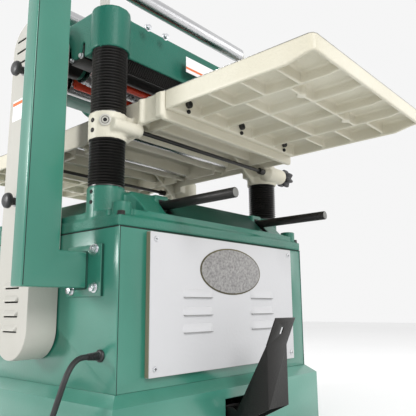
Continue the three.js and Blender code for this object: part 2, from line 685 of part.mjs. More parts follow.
function feedKnob() {
  return join(
    cylinder('x', 6, [392, 446], [0, 0], 16),
    cylinder('x', 13, [444, 470], [0, 0], 20));
}

function handwheel() {
  const rim = lathe([[HANDWHEEL_RADIUS - 9, 0], [HANDWHEEL_RADIUS - 5, -8],
    [HANDWHEEL_RADIUS + 5, -8], [HANDWHEEL_RADIUS + 9, 0], [HANDWHEEL_RADIUS + 5, 8],
    [HANDWHEEL_RADIUS - 5, 8], [HANDWHEEL_RADIUS - 9, 0]], 28);
  let wheel = join(turned(rim, [0, 90, 0]),
    cylinder('x', 10, [-90, -20], [0, 0], 16),
    cylinder('x', 21, [-45, 10], [0, 0], 20));
  for (let spoke = 0; spoke < 3; spoke += 1) {
    const arm = box([-6, 4], [-9, 9], [10, HANDWHEEL_RADIUS - 2]);
    wheel = join(wheel, turned(arm, [spoke * 120, 0, 0]));
  }
  return join(wheel,
    cylinder('x', 13, [-9, 10], [0, HANDWHEEL_GRIP_RADIUS], 16),
    cylinder('x', 5, [8, 66], [0, HANDWHEEL_GRIP_RADIUS], 12));
}

const HANDWHEEL_GRIP_RADIUS = 84;

const handwheelGrip = () => {
  const profile = [[5 + GAP, 10.5], [9, 10.5], [12, 24], [13, 44], [11, 62], [7, 68.5],
    [0, 71], [0, 66.5], [5 + GAP, 66.5], [5 + GAP, 10.5]];
  return turned(lathe(profile, 16), [0, 90, 0]);
};

function dustHood() {
  const outline = [[-58, HEAD_TOP + GAP], [-58, 1036], [-10, 1062], [150, 1086], [262, 1086],
    [262, 936], [HEAD_HALF_Y + GAP, 936], [HEAD_HALF_Y + GAP, HEAD_TOP + GAP]];
  const innerOutline = [[-56, HEAD_TOP - 1], [-56, 1034], [-9, 1060], [151, 1084], [260, 1084],
    [260, 938], [HEAD_HALF_Y + GAP + 2, 938], [HEAD_HALF_Y + GAP + 2, HEAD_TOP + 2.3],
    [156, HEAD_TOP + 2.3], [156, HEAD_TOP - 1]];
  const port = [1010, 0];
  return cut(
    join(prism('x', outline, [-HOOD_HALF_X, HOOD_HALF_X]), cylinder('y', 63.5, [255, 318], port)),
    prism('x', innerOutline, [-HOOD_HALF_X + 2, HOOD_HALF_X - 2]),
    cylinder('y', 61, [250, 320], port));
}

function rollerBracket(sign) {
  const upright = (y) => [[y - 18, HEAD_TOP + 4], [y + 18, HEAD_TOP + 4], [y + 13, RETURN_ROLLER_Z],
    [y - 13, RETURN_ROLLER_Z]];
  const [near, far] = [274, 282];
  let bracket = join(
    box(span(sign, near, 322), [-132, 132], [HEAD_TOP + GAP, HEAD_TOP + 8]),
    box(span(sign, near, far), [-110, 110], [HEAD_TOP + 1, HEAD_TOP + 34]));
  for (const end of SIDES) {
    const y = end * RETURN_ROLLER_Y;
    bracket = join(bracket, prism('x', upright(y), span(sign, near, far)),
      cylinder('x', 15, span(sign, near, far), [y, RETURN_ROLLER_Z], 16));
    bracket = cut(bracket, cylinder('x', 8 + GAP, span(sign, near - 5, far + 5),
      [y, RETURN_ROLLER_Z], 12));
  }
  return bracket;
}

function returnRoller() {
  return join(
    cylinder('x', RETURN_ROLLER_RADIUS, [-272, 272], [0, 0], 28),
    cylinder('x', 8, [-290, 290], [0, 0], 12));
}

function motor() {
  const body = join(
    cylinder('x', MOTOR_RADIUS, [-290, -20], [0, MOTOR_Z], 28),
    cylinder('x', 78, [-318, -10], [0, MOTOR_Z], 24),
    cylinder('x', 40, [-328, -317], [0, MOTOR_Z], 20),
    box([-230, -70], [-88, 88], [MOTOR_Z - 90, MOTOR_Z - 50]),
    box([-230, -70], [-108, 108], [SHELF_Z + 5 + GAP, SHELF_Z + 17]),
    box([-190, -100], [60, 118], [MOTOR_Z - 40, MOTOR_Z + 50]));
  return body;
}

function head() {
  const group = section();
  place(group, 'head_casting', headCasting(), GREEN);
  place(group, 'anti_kickback_fingers', kickbackFingers(), DARK_STEEL);
  place(group, 'chip_breaker', chipBreaker(), RED);
  place(group, 'infeed_roller', feedRoller(FEED_RADIUS, 32), STEEL, [0, -FEED_Y, FEED_Z]);
  place(group, 'outfeed_roller', feedRoller(FEED_RADIUS, 32), STEEL, [0, FEED_Y, FEED_Z]);
  place(group, 'cutterhead', cutterhead(), STEEL, [0, 0, CUTTER_Z]);
  place(group, 'dust_hood', dustHood(), GREEN);
  place(group, 'left_roller_bracket', rollerBracket(-1), CREAM);
  place(group, 'right_roller_bracket', rollerBracket(1), CREAM);
  for (const [end, side] of [['front', -1], ['rear', 1]]) {
    place(group, `${end}_return_roller`, returnRoller(), STEEL,
      [0, side * RETURN_ROLLER_Y, RETURN_ROLLER_Z]);
  }
  place(group, 'gear_case', gearCase(), GREEN);
  place(group, 'feed_speed_knob', feedKnob(), PLASTIC, [0, ...FEED_KNOB_AT]);
  place(group, 'handwheel', handwheel(), STEEL, [HANDWHEEL_X, HANDWHEEL_Y, HANDWHEEL_Z]);
  place(group, 'handwheel_grip', handwheelGrip(), PLASTIC,
    [HANDWHEEL_X, HANDWHEEL_Y, HANDWHEEL_Z + HANDWHEEL_GRIP_RADIUS]);
}

// ---------------------------------------------------------------- drive
function drive() {
  const group = section();
  const shaft = cylinder('x', 14, [-404, -329], [0, 0], 20);
  place(group, 'motor', motor(), DARK_STEEL);
  place(group, 'motor_pulley', join(pulley(MOTOR_PULLEY_RADIUS), shaft), DARK_STEEL,
    [0, 0, MOTOR_Z]);
  place(group, 'drive_belt', driveBelt(), RUBBER);
  place(group, 'belt_cover', beltCover(), CREAM);
  for (const [name, z] of [['upper', COVER_KNOB_Z[0]], ['lower', COVER_KNOB_Z[1]]]) {
    place(group, `${name}_cover_knob`, coverKnob(), PLASTIC, [0, 0, z]);
  }
}

// ---------------------------------------------------------------- switch pedestal
const START_BUTTON = { x: -484, z: 1180, radius: 13 };
const STOP_BUTTON = { x: -456, z: 1110, radius: 26 };

function switchPost() {
  const wall = -STAND_HALF_X - GAP;
  return join(
    box(POST_X, POST_Y, [POST_BOTTOM, POST_TOP]),
    box([POST_X[1] - 1, wall - 5], POST_Y, [POST_BOTTOM, ARM_TOP]),
    box([wall - 6, wall], [-226, -104], [334, 441]));
}

function switchBox() {
  const [front] = SWITCH_BOX.y;
  return cut(box(SWITCH_BOX.x, SWITCH_BOX.y, SWITCH_BOX.z),
    cylinder('y', START_BUTTON.radius + 0.5, [front - 1, front + 16],
      [START_BUTTON.z, START_BUTTON.x]),
    cylinder('y', 12.5, [front - 1, front + 16], [STOP_BUTTON.z, STOP_BUTTON.x]));
}

function switchGear() {
  const group = section();
  const [front] = SWITCH_BOX.y;
  place(group, 'switch_post', switchPost(), GREEN);
  place(group, 'switch_box', switchBox(), PLASTIC);
  place(group, 'start_button',
    cylinder('y', START_BUTTON.radius, [front - 6, front + 8], [0, 0]), GO_GREEN,
    [START_BUTTON.x, 0, START_BUTTON.z]);
  place(group, 'stop_button',
    join(cylinder('y', STOP_BUTTON.radius, [front - 20, front - 8], [0, 0]),
      cylinder('y', 12, [front - 9, front + 8], [0, 0])), RED,
    [STOP_BUTTON.x, 0, STOP_BUTTON.z]);
}

// ---------------------------------------------------------------- power cord
// The free stretch of the cord: out of the gland, down beside the cabinet and along the floor.
const CORD_ROUTE = [
  [-375.3, -225, 218], [-385, -225.4, 217.7], [-396, -227.3, 215.9], [-412, -232.6, 208],
  [-425, -236.7, 194], [-433, -236.5, 176], [-436.5, -231.5, 156.5], [-437, -222.6, 138],
  [-435.3, -211.7, 121], [-432.7, -199.3, 105.5], [-429.5, -186, 91], [-426, -171.5, 77.5],
  [-422.5, -156.5, 64.5], [-419.3, -141, 52.5], [-416.4, -124.5, 41.3], [-414.2, -107.5, 31],
  [-413, -89.7, 21.7], [-413.1, -71, 14], [-414.9, -52, 8.7], [-417.3, -32, 6.4], [-418, -12, 6],
];

function cordTube() {
  const route = new THREE.CatmullRomCurve3(CORD_ROUTE.map((p) => new THREE.Vector3(...p)));
  const section8 = new THREE.Shape();
  const sides = 10;
  for (let i = 0; i < sides; i += 1) {
    const angle = (i / sides) * Math.PI * 2;
    const point = [CORD_RADIUS * Math.cos(angle), CORD_RADIUS * Math.sin(angle)];
    if (i === 0) section8.moveTo(...point);
    else section8.lineTo(...point);
  }
  return solid(new THREE.ExtrudeGeometry(section8, { steps: 26, extrudePath: route }));
}

function coil() {
  const inner = COIL_MEAN_RADIUS - CORD_RADIUS * 2 - 0.5;
  const outer = COIL_MEAN_RADIUS + CORD_RADIUS * 2 + 0.5;
  return lathe([[inner, 0.5], [outer, 0.5], [outer, COIL_HEIGHT], [inner, COIL_HEIGHT],
    [inner, 0.5]], 36);
}

function plug() {
  return join(
    cylinder('x', 8, [-14, 4], [0, 0], 16),
    box([2, 40], [-16, 16], [-14, 14]),
    box([39, 58], [-9, -7], [-4, 4]),
    box([39, 58], [7, 9], [-4, 4]),
    cylinder('x', 2.6, [39, 62], [0, 9], 12));
}

function cordSet() {
  const group = section();
  const [x, y, z] = CORD_EXIT;
  const relief = lathe([[0, 0], [14, 0], [14, 5], [9.5, 8], [6.4, 31.5], [0, 31.5]], 20);
  place(group, 'strain_relief', turned(relief, [0, -90, 0]), PLASTIC,
    [-STAND_HALF_X - GAP, y, z]);
  place(group, 'power_cord', cordTube(), RUBBER);
  place(group, 'cord_coil', coil(), RUBBER, [...COIL_CENTRE, 0]);
  place(group, 'plug', turned(plug(), [0, 0, 180]), PLASTIC, [-546, 98.8, 14.5]);
}

stand();
mobileBase();
columns();
table();
head();
drive();
switchGear();
cordSet();

export default planer;
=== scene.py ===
# Visual model of the thickness planer. Lengths in the shape helpers are millimetres in the CAD
# frame: X runs along the cutterhead, Y is the feed direction and Z is up from the floor.
import math

import bmesh
import bpy
from mathutils import Matrix, Vector


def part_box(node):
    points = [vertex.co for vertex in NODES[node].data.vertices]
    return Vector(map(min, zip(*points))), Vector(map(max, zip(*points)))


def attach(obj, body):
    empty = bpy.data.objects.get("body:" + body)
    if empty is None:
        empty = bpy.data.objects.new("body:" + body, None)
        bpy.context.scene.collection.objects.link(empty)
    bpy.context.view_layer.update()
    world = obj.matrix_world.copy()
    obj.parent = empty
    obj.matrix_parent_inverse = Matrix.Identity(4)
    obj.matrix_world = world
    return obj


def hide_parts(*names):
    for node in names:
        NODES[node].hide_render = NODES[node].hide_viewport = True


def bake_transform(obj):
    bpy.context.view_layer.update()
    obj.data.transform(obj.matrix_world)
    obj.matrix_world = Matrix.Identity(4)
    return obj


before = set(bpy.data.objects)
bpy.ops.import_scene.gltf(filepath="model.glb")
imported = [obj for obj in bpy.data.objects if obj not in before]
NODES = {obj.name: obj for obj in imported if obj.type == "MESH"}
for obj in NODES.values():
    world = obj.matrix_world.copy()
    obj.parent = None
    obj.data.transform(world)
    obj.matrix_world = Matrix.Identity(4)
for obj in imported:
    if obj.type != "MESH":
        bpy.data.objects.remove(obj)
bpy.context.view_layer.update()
SCENE = bpy.context.scene
MM = 0.001
SIDES = (-1, 1)
QUARTERS = tuple((sx, sy) for sx in SIDES for sy in SIDES)
CORNERS = (("front_left", -1, -1), ("front_right", 1, -1), ("rear_left", -1, 1),
    ("rear_right", 1, 1))
ENDS = (("front", -1), ("rear", 1))

# Places that several pieces share, in millimetres.
COLUMN_X, COLUMN_Y = 300, 169
CUTTER_Z = 932
FEED_Y, FEED_Z = 84, 924.3
MOTOR_Z = 270
LOCK_Y, LOCK_Z = 214, 710
BAR_X, BAR_Z = 185, 541
BOLT_X, BOLT_Y = 317.5, 246.5
TABLE_HALF_X, TABLE_HALF_Y, TABLE_Z = 254, 308.3, 781.2
HANDWHEEL_HUB = (-150, 960)
PLUG_AT = (98.8, 14.5)
START_BUTTON = (1180, -484)
STOP_BUTTON = (1110, -456)


def corner_of(node, side):
    """A node's box in millimetres: side 0 is its lowest corner, 1 its highest."""
    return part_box(node)[side] * 1000


# ------------------------------------------------------------------ camera, light and floor
def make_camera():
    yaw, pitch, roll = math.radians(48.71), math.radians(10.98), math.radians(-0.45)
    level = math.cos(pitch)
    ahead = Vector((math.sin(yaw) * level, math.cos(yaw) * level, math.sin(pitch)))
    right = Vector((math.cos(yaw), -math.sin(yaw), 0))
    up = right.cross(ahead)
    tilted_right = right * math.cos(roll) + up * math.sin(roll)
    tilted_up = up * math.cos(roll) - right * math.sin(roll)
    data = bpy.data.cameras.new("camera")
    data.lens = 44.51
    data.sensor_width = 36
    data.clip_end = 60
    camera = bpy.data.objects.new("camera", data)
    SCENE.collection.objects.link(camera)
    turn = Matrix((tilted_right, tilted_up, -ahead)).transposed().to_4x4()
    camera.matrix_world = Matrix.Translation((-0.9922, -1.0800, 0.3096)) @ turn
    SCENE.camera = camera


def area_light(name, place, target, size, power):
    data = bpy.data.lights.new(name, "AREA")
    data.shape = "DISK"
    data.size = size
    data.energy = power
    light = bpy.data.objects.new(name, data)
    SCENE.collection.objects.link(light)
    light.location = place
    light.rotation_euler = (Vector(target) - Vector(place)).to_track_quat("-Z", "Y").to_euler()


def make_studio():
    world = bpy.data.worlds.new("studio")
    world.use_nodes = True
    background = world.node_tree.nodes["Background"]
    background.inputs["Color"].default_value = (1, 1, 1, 1)
    background.inputs["Strength"].default_value = 0.92
    SCENE.world = world
    SCENE.view_settings.view_transform = "Standard"
    SCENE.view_settings.look = "None"
    area_light("key", (-0.9, -3.2, 2.2), (0, 0, 0.6), 1.6, 58)
    area_light("side", (-3.1, 1.55, 1.25), (0, 0, 0.5), 0.7, 62)
    area_light("right_fill", (2.6, -2.2, 1.4), (0, 0, 0.6), 2.0, 15)
    area_light("back", (0.8, 3.2, 2.6), (0, 0, 0.8), 2.4, 30)


def make_floor():
    data = bpy.data.meshes.new("floor")
    half = 9.0
    data.from_pydata([(-half, -half, 0), (half, -half, 0), (half, half, 0), (-half, half, 0)], [],
        [(0, 1, 2, 3)])
    floor = bpy.data.objects.new("floor", data)
    data.materials.append(MATERIALS["floor"])
    SCENE.collection.objects.link(floor)


# ------------------------------------------------------------------ materials
def linear(*levels):
    """An 8-bit screen colour as linear light."""
    return tuple((v / 255 / 12.92) if v / 255 <= 0.04045 else ((v / 255 + 0.055) / 1.055) ** 2.4
        for v in levels)


def grey(level):
    return (level, level, level)


def material(name, colour, shade, rough, grain, bump, metallic=0.0, spots=0.0, coat=0.0,
        stretch=(1, 1, 1), specular=0.5, wear=None):
    """A procedural finish: two close shades mixed by noise, uneven gloss and a fine bump, with
    darker specks where spots is set and, with wear, a lighter tone where edges are rubbed."""
    made = bpy.data.materials.new(name)
    made.use_nodes = True
    tree = made.node_tree

    def feed(node, values):
        """Each value is an input's setting, or the output that is linked to it."""
        for key, value in dict(values).items():
            if isinstance(value, bpy.types.NodeSocket):
                tree.links.new(value, node.inputs[key])
            else:
                node.inputs[key].default_value = value

    def add(kind, output, values=(), **settings):
        """A new node's output."""
        node = tree.nodes.new("ShaderNode" + kind)
        for key, value in settings.items():
            setattr(node, key, value)
        feed(node, values)
        return node.outputs[output]

    def blend(factor, under, over):
        return add("Mix", "Result", {"Factor": factor, "A": under, "B": (*over, 1)},
            data_type="RGBA")

    where = add("Mapping", "Vector", {"Vector": add("TexCoord", "Object"), "Scale": stretch})
    broad = add("TexNoise", "Fac", {"Vector": where, "Scale": grain * 0.12, "Detail": 6})
    fine = add("TexNoise", "Fac", {"Vector": where, "Scale": grain * 6, "Detail": 3})
    out = add("ValToRGB", "Color", {"Fac": broad})
    for element, position, tone in zip(out.node.color_ramp.elements, (0.3, 0.7), (shade, colour)):
        element.position = position
        element.color = (*tone, 1)
    if spots:
        speck = add("TexVoronoi", "Distance", {"Vector": where, "Scale": grain * 1.6})
        mask = add("MapRange", "Result", {"Value": speck, "From Min": 0.02, "From Max": 0.10,
            "To Min": spots, "To Max": 0})
        out = blend(mask, out, [c * 0.35 for c in shade])
    if wear:
        rub = add("MapRange", "Result", {"Value": add("NewGeometry", "Pointiness"),
            "From Min": 0.54, "From Max": 0.64, "To Min": 0, "To Max": 0.5})
        patchy = add("Math", "Value", {0: rub, 1: broad}, operation="MULTIPLY")
        out = blend(patchy, out, wear)
    gloss = add("MapRange", "Result", {"Value": broad, "To Min": rough[0], "To Max": rough[1]})
    relief = add("Bump", "Normal", {"Height": fine, "Strength": bump, "Distance": 0.002})
    feed(tree.nodes["Principled BSDF"], {"Metallic": metallic, "Coat Weight": coat,
        "Coat Roughness": 0.18, "Specular IOR Level": specular, "Base Color": out,
        "Roughness": gloss, "Normal": relief})
    return made


RUBBED_GREEN = linear(120, 180, 165)
# For each finish: its material's name, colour, darker shade, lowest and highest roughness, grain
# and bump, the record's slot, and any other settings.
FINISHES = {
    "green": ("green_enamel", linear(40, 116, 97), linear(32, 105, 87), (0.24, 0.36), 30, 0.12,
        "green_paint", dict(coat=0.55, wear=RUBBED_GREEN)),
    "green_cast": ("green_cast", linear(38, 112, 94), linear(30, 100, 82), (0.28, 0.42), 45, 0.5,
        "green_paint", dict(coat=0.15, specular=0.4, wear=RUBBED_GREEN)),
    # green_head_painted_shade: a darker, duller copy of the green paint for the head: painted
    # shade.
    "green_head_painted_shade": ("green_head_painted_shade", linear(31, 103, 87), linear(25, 92, 76), (0.34, 0.48), 45, 0.5,
        "green_paint", dict(coat=0.05, specular=0.28, wear=RUBBED_GREEN)),
    # deck: the dark green printed band on the base's front slope, and painted shade on the post's
    # weld bead and plate edge.
    "deck": ("dark_green_band_and_painted_shade", linear(20, 68, 56), linear(15, 58, 47), (0.4, 0.55), 40, 0.25,
        "green_paint", dict(specular=0.25)),
    # edge: the white panel's side walls in olive, as painted shade with a painted green reflection
    # of the cabinet.
    "edge": ("panel_edge_painted_shade", linear(136, 130, 108), linear(122, 116, 94), (0.5, 0.65), 40, 0.1,
        "white_paint", {}),
    "cream": ("cream_enamel", linear(182, 180, 173), linear(173, 171, 162), (0.36, 0.5), 30, 0.12,
        "cream_paint", dict(coat=0.15, wear=linear(235, 232, 222))),
    "cream_cast": ("cream_cast", linear(208, 204, 188), linear(197, 192, 173), (0.4, 0.55), 45,
        0.55, "cream_paint", dict(coat=0.1, spots=0.05, wear=linear(232, 229, 218))),
    "white": ("white_powder_coat", linear(193, 193, 195), linear(187, 187, 189), (0.4, 0.5), 25,
        0.18, "white_paint", {}),
    "ground": ("ground_iron", (0.42, 0.42, 0.41), (0.34, 0.34, 0.33), (0.22, 0.38), 40, 0.15,
        "ground_steel", dict(metallic=0.9, stretch=(18, 1, 18))),
    "steel": ("bright_steel", (0.62, 0.62, 0.63), (0.5, 0.5, 0.51), (0.18, 0.32), 50, 0.1,
        "ground_steel", dict(metallic=1.0, stretch=(1, 12, 12))),
    "zinc": ("zinc_bolts", (0.78, 0.79, 0.8), (0.62, 0.63, 0.66), (0.2, 0.36), 120, 0.15,
        "ground_steel", dict(metallic=1.0)),
    "blackened": ("blackened_steel", (0.018, 0.017, 0.016), (0.010, 0.0095, 0.009), (0.28, 0.45),
        50, 0.25, "black_steel", dict(metallic=0.5, wear=(0.22, 0.21, 0.2))),
    "black": ("black_plastic", (0.022, 0.022, 0.023), (0.013, 0.013, 0.014), (0.3, 0.48), 80, 0.2,
        "black_plastic", {}),
    "rubber": ("bellows_rubber", (0.0165, 0.0150, 0.0138), (0.010, 0.0092, 0.0085), (0.26, 0.4),
        60, 0.15, "bellows_rubber", dict(specular=0.6)),
    "cord": ("cord_jacket", (0.018, 0.018, 0.019), grey(0.010), (0.42, 0.6), 90, 0.25,
        "cord_rubber", {}),
    "shadow": ("louvre_shadow", linear(148, 148, 147), linear(134, 134, 132), (0.7, 0.85), 40, 0.1,
        "white_paint", {}),
    "dull": ("cut_steel", (0.20, 0.20, 0.19), (0.14, 0.14, 0.13), (0.4, 0.55), 200, 0.2,
        "ground_steel", dict(metallic=0.6)),
    "belt": ("belt_rubber", grey(0.03), grey(0.018), (0.6, 0.8), 90, 0.4, "cord_rubber", {}),
    "red": ("red_enamel", linear(238, 76, 40), linear(214, 62, 32), (0.3, 0.45), 40, 0.2,
        "red_paint", dict(coat=0.2)),
    "stop": ("red_button", (0.62, 0.03, 0.025), (0.5, 0.02, 0.02), (0.22, 0.32), 60, 0.05,
        "red_plastic", dict(coat=0.3)),
    "go": ("green_button", (0.03, 0.36, 0.09), (0.02, 0.3, 0.07), (0.22, 0.32), 60, 0.05,
        "green_plastic", dict(coat=0.3)),
    # hole: near-black in holes, screw sockets, the bar notches, seams and the cabinet's joints:
    # painted shade in the openings, with the dark of the joints themselves.
    "hole": ("dark_opening_painted_shade", grey(0.012), grey(0.008), (0.8, 0.95), 40, 0.1, "black_steel", {}),
    "pewter": ("pewter_badge", linear(186, 184, 182), linear(128, 126, 126), (0.28, 0.5), 1300,
        0.9, "ground_steel", dict(metallic=0.35, spots=0.6)),
    "olive": ("badge_rim", linear(96, 90, 62), linear(70, 66, 48), (0.3, 0.45), 60, 0.1,
        "green_paint", dict(metallic=0.4)),
    "label": ("plain_label", linear(236, 236, 236), linear(228, 228, 229), (0.35, 0.45), 30, 0.05,
        "white_paint", {}),
    "orange": ("orange_stripe", linear(226, 112, 40), linear(214, 100, 34), (0.35, 0.45), 30, 0.05,
        "red_paint", {}),
    "floor": ("pale_floor", grey(0.88), grey(0.85), (0.45, 0.6), 6, 0.05, None, {}),
}
MATERIALS = {}


def make_materials():
    for key, (name, colour, shade, rough, grain, bump, _, options) in FINISHES.items():
        MATERIALS[key] = material(name, colour, shade, rough, grain, bump, **options)


# ------------------------------------------------------------------ mesh building
ONTO = {
    "x": Matrix(((0, 0, 1), (1, 0, 0), (0, 1, 0))),
    "y": Matrix(((0, 1, 0), (0, 0, 1), (1, 0, 0))),
    "z": Matrix.Identity(3),
}
# The voxel size that the largest castings are fused at, and the share of faces then kept.
VOXEL, KEEP = 2.8, 0.3


def span(sign, near, far):
    """Two distances out on one side, as a rising pair."""
    return (near, far) if sign > 0 else (-far, -near)


def rising(a, b):
    return (min(a, b), max(a, b))


def circle(count):
    """Cosine and sine of evenly spaced angles."""
    angles = (2 * math.pi * i / count for i in range(count))
    return [(math.cos(a), math.sin(a)) for a in angles]


def modify(piece, kind, **settings):
    """Adds a modifier, which dress() then applies."""
    made = piece.modifiers.new(kind.lower(), kind)
    for key, value in settings.items():
        setattr(made, key, value)


def dress(piece, finish, angle):
    """Makes the modifiers' result the piece's own mesh, with edges sharper than angle kept
    crisp and the finish as its only material."""
    if piece.modifiers:
        old = piece.data
        graph = bpy.context.evaluated_depsgraph_get()
        piece.data = bpy.data.meshes.new_from_object(piece.evaluated_get(graph))
        piece.modifiers.clear()
        bpy.data.meshes.remove(old)
    piece.data.shade_smooth()
    piece.data.set_sharp_from_angle(angle=math.radians(angle))
    piece.data.materials.clear()
    piece.data.materials.append(MATERIALS[finish])


class Shape:
    """Closed solids gathered into one mesh, in millimetres."""

    def __init__(self):
        self.mesh = bmesh.new()

    def outline(self, axis, points, along):
        onto = ONTO[axis]
        return [self.mesh.verts.new(onto @ Vector((u, v, along))) for u, v in points]

    def skin(self, rings, closed=False):
        """Joins rings of vertices in order, and caps the ends unless the last joins the first."""
        count = len(rings[0])
        for lower, upper in zip(rings, rings[1:] + (rings[:1] if closed else [])):
            for i in range(count):
                j = (i + 1) % count
                self.mesh.faces.new((lower[i], lower[j], upper[j], upper[i]))
        if not closed:
            self.mesh.faces.new(list(reversed(rings[0])))
            self.mesh.faces.new(rings[-1])
        return self

    def loft(self, axis, outlines):
        """outlines: (position along the axis, points) in order."""
        return self.skin([self.outline(axis, points, along) for along, points in outlines])

    def prism(self, axis, points, ends):
        return self.loft(axis, [(ends[0], points), (ends[1], points)])

    def box(self, x, y, z):
        return self.prism("z", [(x[0], y[0]), (x[1], y[0]), (x[1], y[1]), (x[0], y[1])], z)

    def lathe(self, axis, profile, centre=(0, 0), sides=48, closed=False):
        """profile: (radius, position along the axis) in order."""
        turn = circle(sides)
        return self.skin([self.outline(axis, [(centre[0] + radius * c, centre[1] + radius * s)
            for c, s in turn], along) for radius, along in profile], closed)

    def ring(self, axis, profile, centre=(0, 0), sides=48):
        """A lathe of a closed profile that doesn't reach the axis."""
        return self.lathe(axis, profile, centre, sides, closed=True)

    def cylinder(self, axis, radius, ends, centre=(0, 0), sides=40, soft=0.0):
        low, high = ends
        if not soft:
            return self.lathe(axis, [(radius, low), (radius, high)], centre, sides)
        return self.lathe(axis, [(radius - soft, low), (radius - soft * 0.3, low + soft * 0.3),
            (radius, low + soft), (radius, high - soft), (radius - soft * 0.3, high - soft * 0.3),
            (radius - soft, high)], centre, sides)

    def hexagon(self, axis, across, ends, centre):
        radius = across / math.sqrt(3)
        return self.lathe(axis, [(radius, ends[0]), (radius, ends[1])], centre, 6)

    def add_mesh(self, data):
        self.mesh.from_mesh(data)
        for vertex in self.mesh.verts:
            vertex.co *= 1000

    def place(self, name, finish, body="stand", bevel=0.0, segments=2, voxel=0.0, smooth=0,
            keep=1.0, replaces=(), angle=35.0):
        """Makes the mesh a piece of this finish that rides on a body. With voxel it is fused and
        filleted, else its edges sharper than angle get a bevel. replaces names CAD nodes."""
        for vertex in self.mesh.verts:
            vertex.co = vertex.co * MM
        bmesh.ops.recalc_face_normals(self.mesh, faces=self.mesh.faces)
        data = bpy.data.meshes.new(name)
        self.mesh.to_mesh(data)
        self.mesh.free()
        piece = bpy.data.objects.new(name, data)
        SCENE.collection.objects.link(piece)
        if voxel:
            modify(piece, "REMESH", mode="VOXEL", voxel_size=voxel * MM)
            if smooth:
                modify(piece, "SMOOTH", factor=0.5, iterations=smooth)
            if keep < 1:
                modify(piece, "DECIMATE", ratio=keep)
        elif bevel:
            modify(piece, "BEVEL", width=bevel * MM, segments=segments, limit_method="ANGLE",
                angle_limit=math.radians(angle), use_clamp_overlap=True)
        dress(piece, finish, 60 if voxel else angle)
        if body:
            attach(piece, body)
        if replaces:
            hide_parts(*replaces)
        return piece


def from_node(node, finish, body="stand", bevel=1.0, segments=2, voxel=0.0, smooth=0, keep=1.0,
        extra=None):
    """A node's own solid: sheet and machined parts get rounded edges, and castings are remeshed
    with fillets. extra adds solids to it first."""
    shape = Shape()
    shape.add_mesh(NODES[node].data)
    bmesh.ops.remove_doubles(shape.mesh, verts=shape.mesh.verts, dist=0.002)
    if not voxel:
        bmesh.ops.dissolve_limit(shape.mesh, angle_limit=math.radians(1.0), verts=shape.mesh.verts,
            edges=shape.mesh.edges)
    if extra:
        extra(shape)
    return shape.place(node + "_body", finish, body, bevel=bevel, segments=segments, voxel=voxel,
        smooth=smooth, keep=keep, replaces=(node,))


def washer_bolt(shape, axis, out, at, across=16, height=8):
    """A hexagon head on a washer; out is the face it sits on, and the sign is its direction."""
    face, sign = out
    washer, top = face + sign * 2, face + sign * (2 + height)
    shape.cylinder(axis, across * 0.72, rising(face, washer), at, 24)
    shape.hexagon(axis, across, rising(washer, top), at)
    shape.cylinder(axis, across * 0.36, rising(top, face + sign * (3.2 + height)), at, 16)


def socket_screw(bright, dark, axis, out, at, radius=8, height=8):
    """A cap screw with a hexagonal recess, filled by a dark hexagon that is painted shade."""
    face, sign = out
    top, floor = face + sign * height, face + sign * (height - 4)
    bright.lathe(axis, [(radius * 0.96, face), (radius, face + sign * 1),
        (radius, face + sign * (height - 1)), (radius * 0.9, top), (radius * 0.52, top),
        (radius * 0.5, floor), (0.01, floor)], at, 24)
    ends = rising(face + sign * (height - 4.2), face + sign * (height - 0.4))
    dark.hexagon(axis, radius * 0.86, ends, at)


def grub_hole(dark, axis, out, at, radius=4):
    """A set screw's hole as a dark disc, a little proud of the surface that it is in: its
    near-black is painted shade in the hole.
    """
    face, sign = out
    dark.cylinder(axis, radius, rising(face - sign * 2, face + sign * 0.35), at, 20)


def slanted_boss(boss, dark, centre, out, radius):
    """A spot-faced boss with a recessed socket screw, on a round wall and facing out in plan."""
    along = Vector((*out, 0)).normalized()
    side = Vector((-along.y, along.x, 0))
    up = Vector((0, 0, 1))

    def rings(shape, profile, sides):
        shape.skin([[shape.mesh.verts.new(Vector(centre) + along * (radius + d)
                                          + (side * c + up * s) * r) for c, s in circle(sides)]
                    for r, d in profile])
    rings(boss, [(13.6, -4), (13.6, 2.4), (12.4, 3.4), (9.4, 3.4), (9.2, 1.2), (7.8, 1.2),
        (7.4, 3.0), (4.6, 3.0), (4.4, 1.0)], 40)
    # the recessed screw as a dark disc and hexagon: painted shade in the recess
    rings(dark, [(8.6, 0.8), (8.6, 1.5)], 40)
    rings(dark, [(4.8, 0.9), (4.8, 3.3)], 6)


# ------------------------------------------------------------------ power cord
CORD_ROUTE = [(-375.3, -225, 218), (-385, -225.4, 217.7), (-396, -227.3, 215.9),
              (-412, -232.6, 208), (-425, -236.7, 194), (-433, -236.5, 176),
              (-436.5, -231.5, 156.5), (-437, -222.6, 138), (-435.3, -211.7, 121),
              (-432.7, -199.3, 105.5), (-429.5, -186, 91), (-426, -171.5, 77.5),
              (-422.5, -156.5, 64.5), (-419.3, -141, 52.5),
              (-416.4, -124.5, 41.3), (-414.2, -107.5, 31), (-413, -89.7, 21.7), (-413.1, -71, 14),
              (-414.9, -52, 8.7), (-417.3, -32, 6.4), (-418, -12, 6)]
COIL_CENTRE = (-487, 30)
CORD_RADIUS = 5.5


def smoothstep(value, low, high):
    t = min(1, max(0, (value - low) / (high - low)))
    return t * t * (3 - 2 * t)


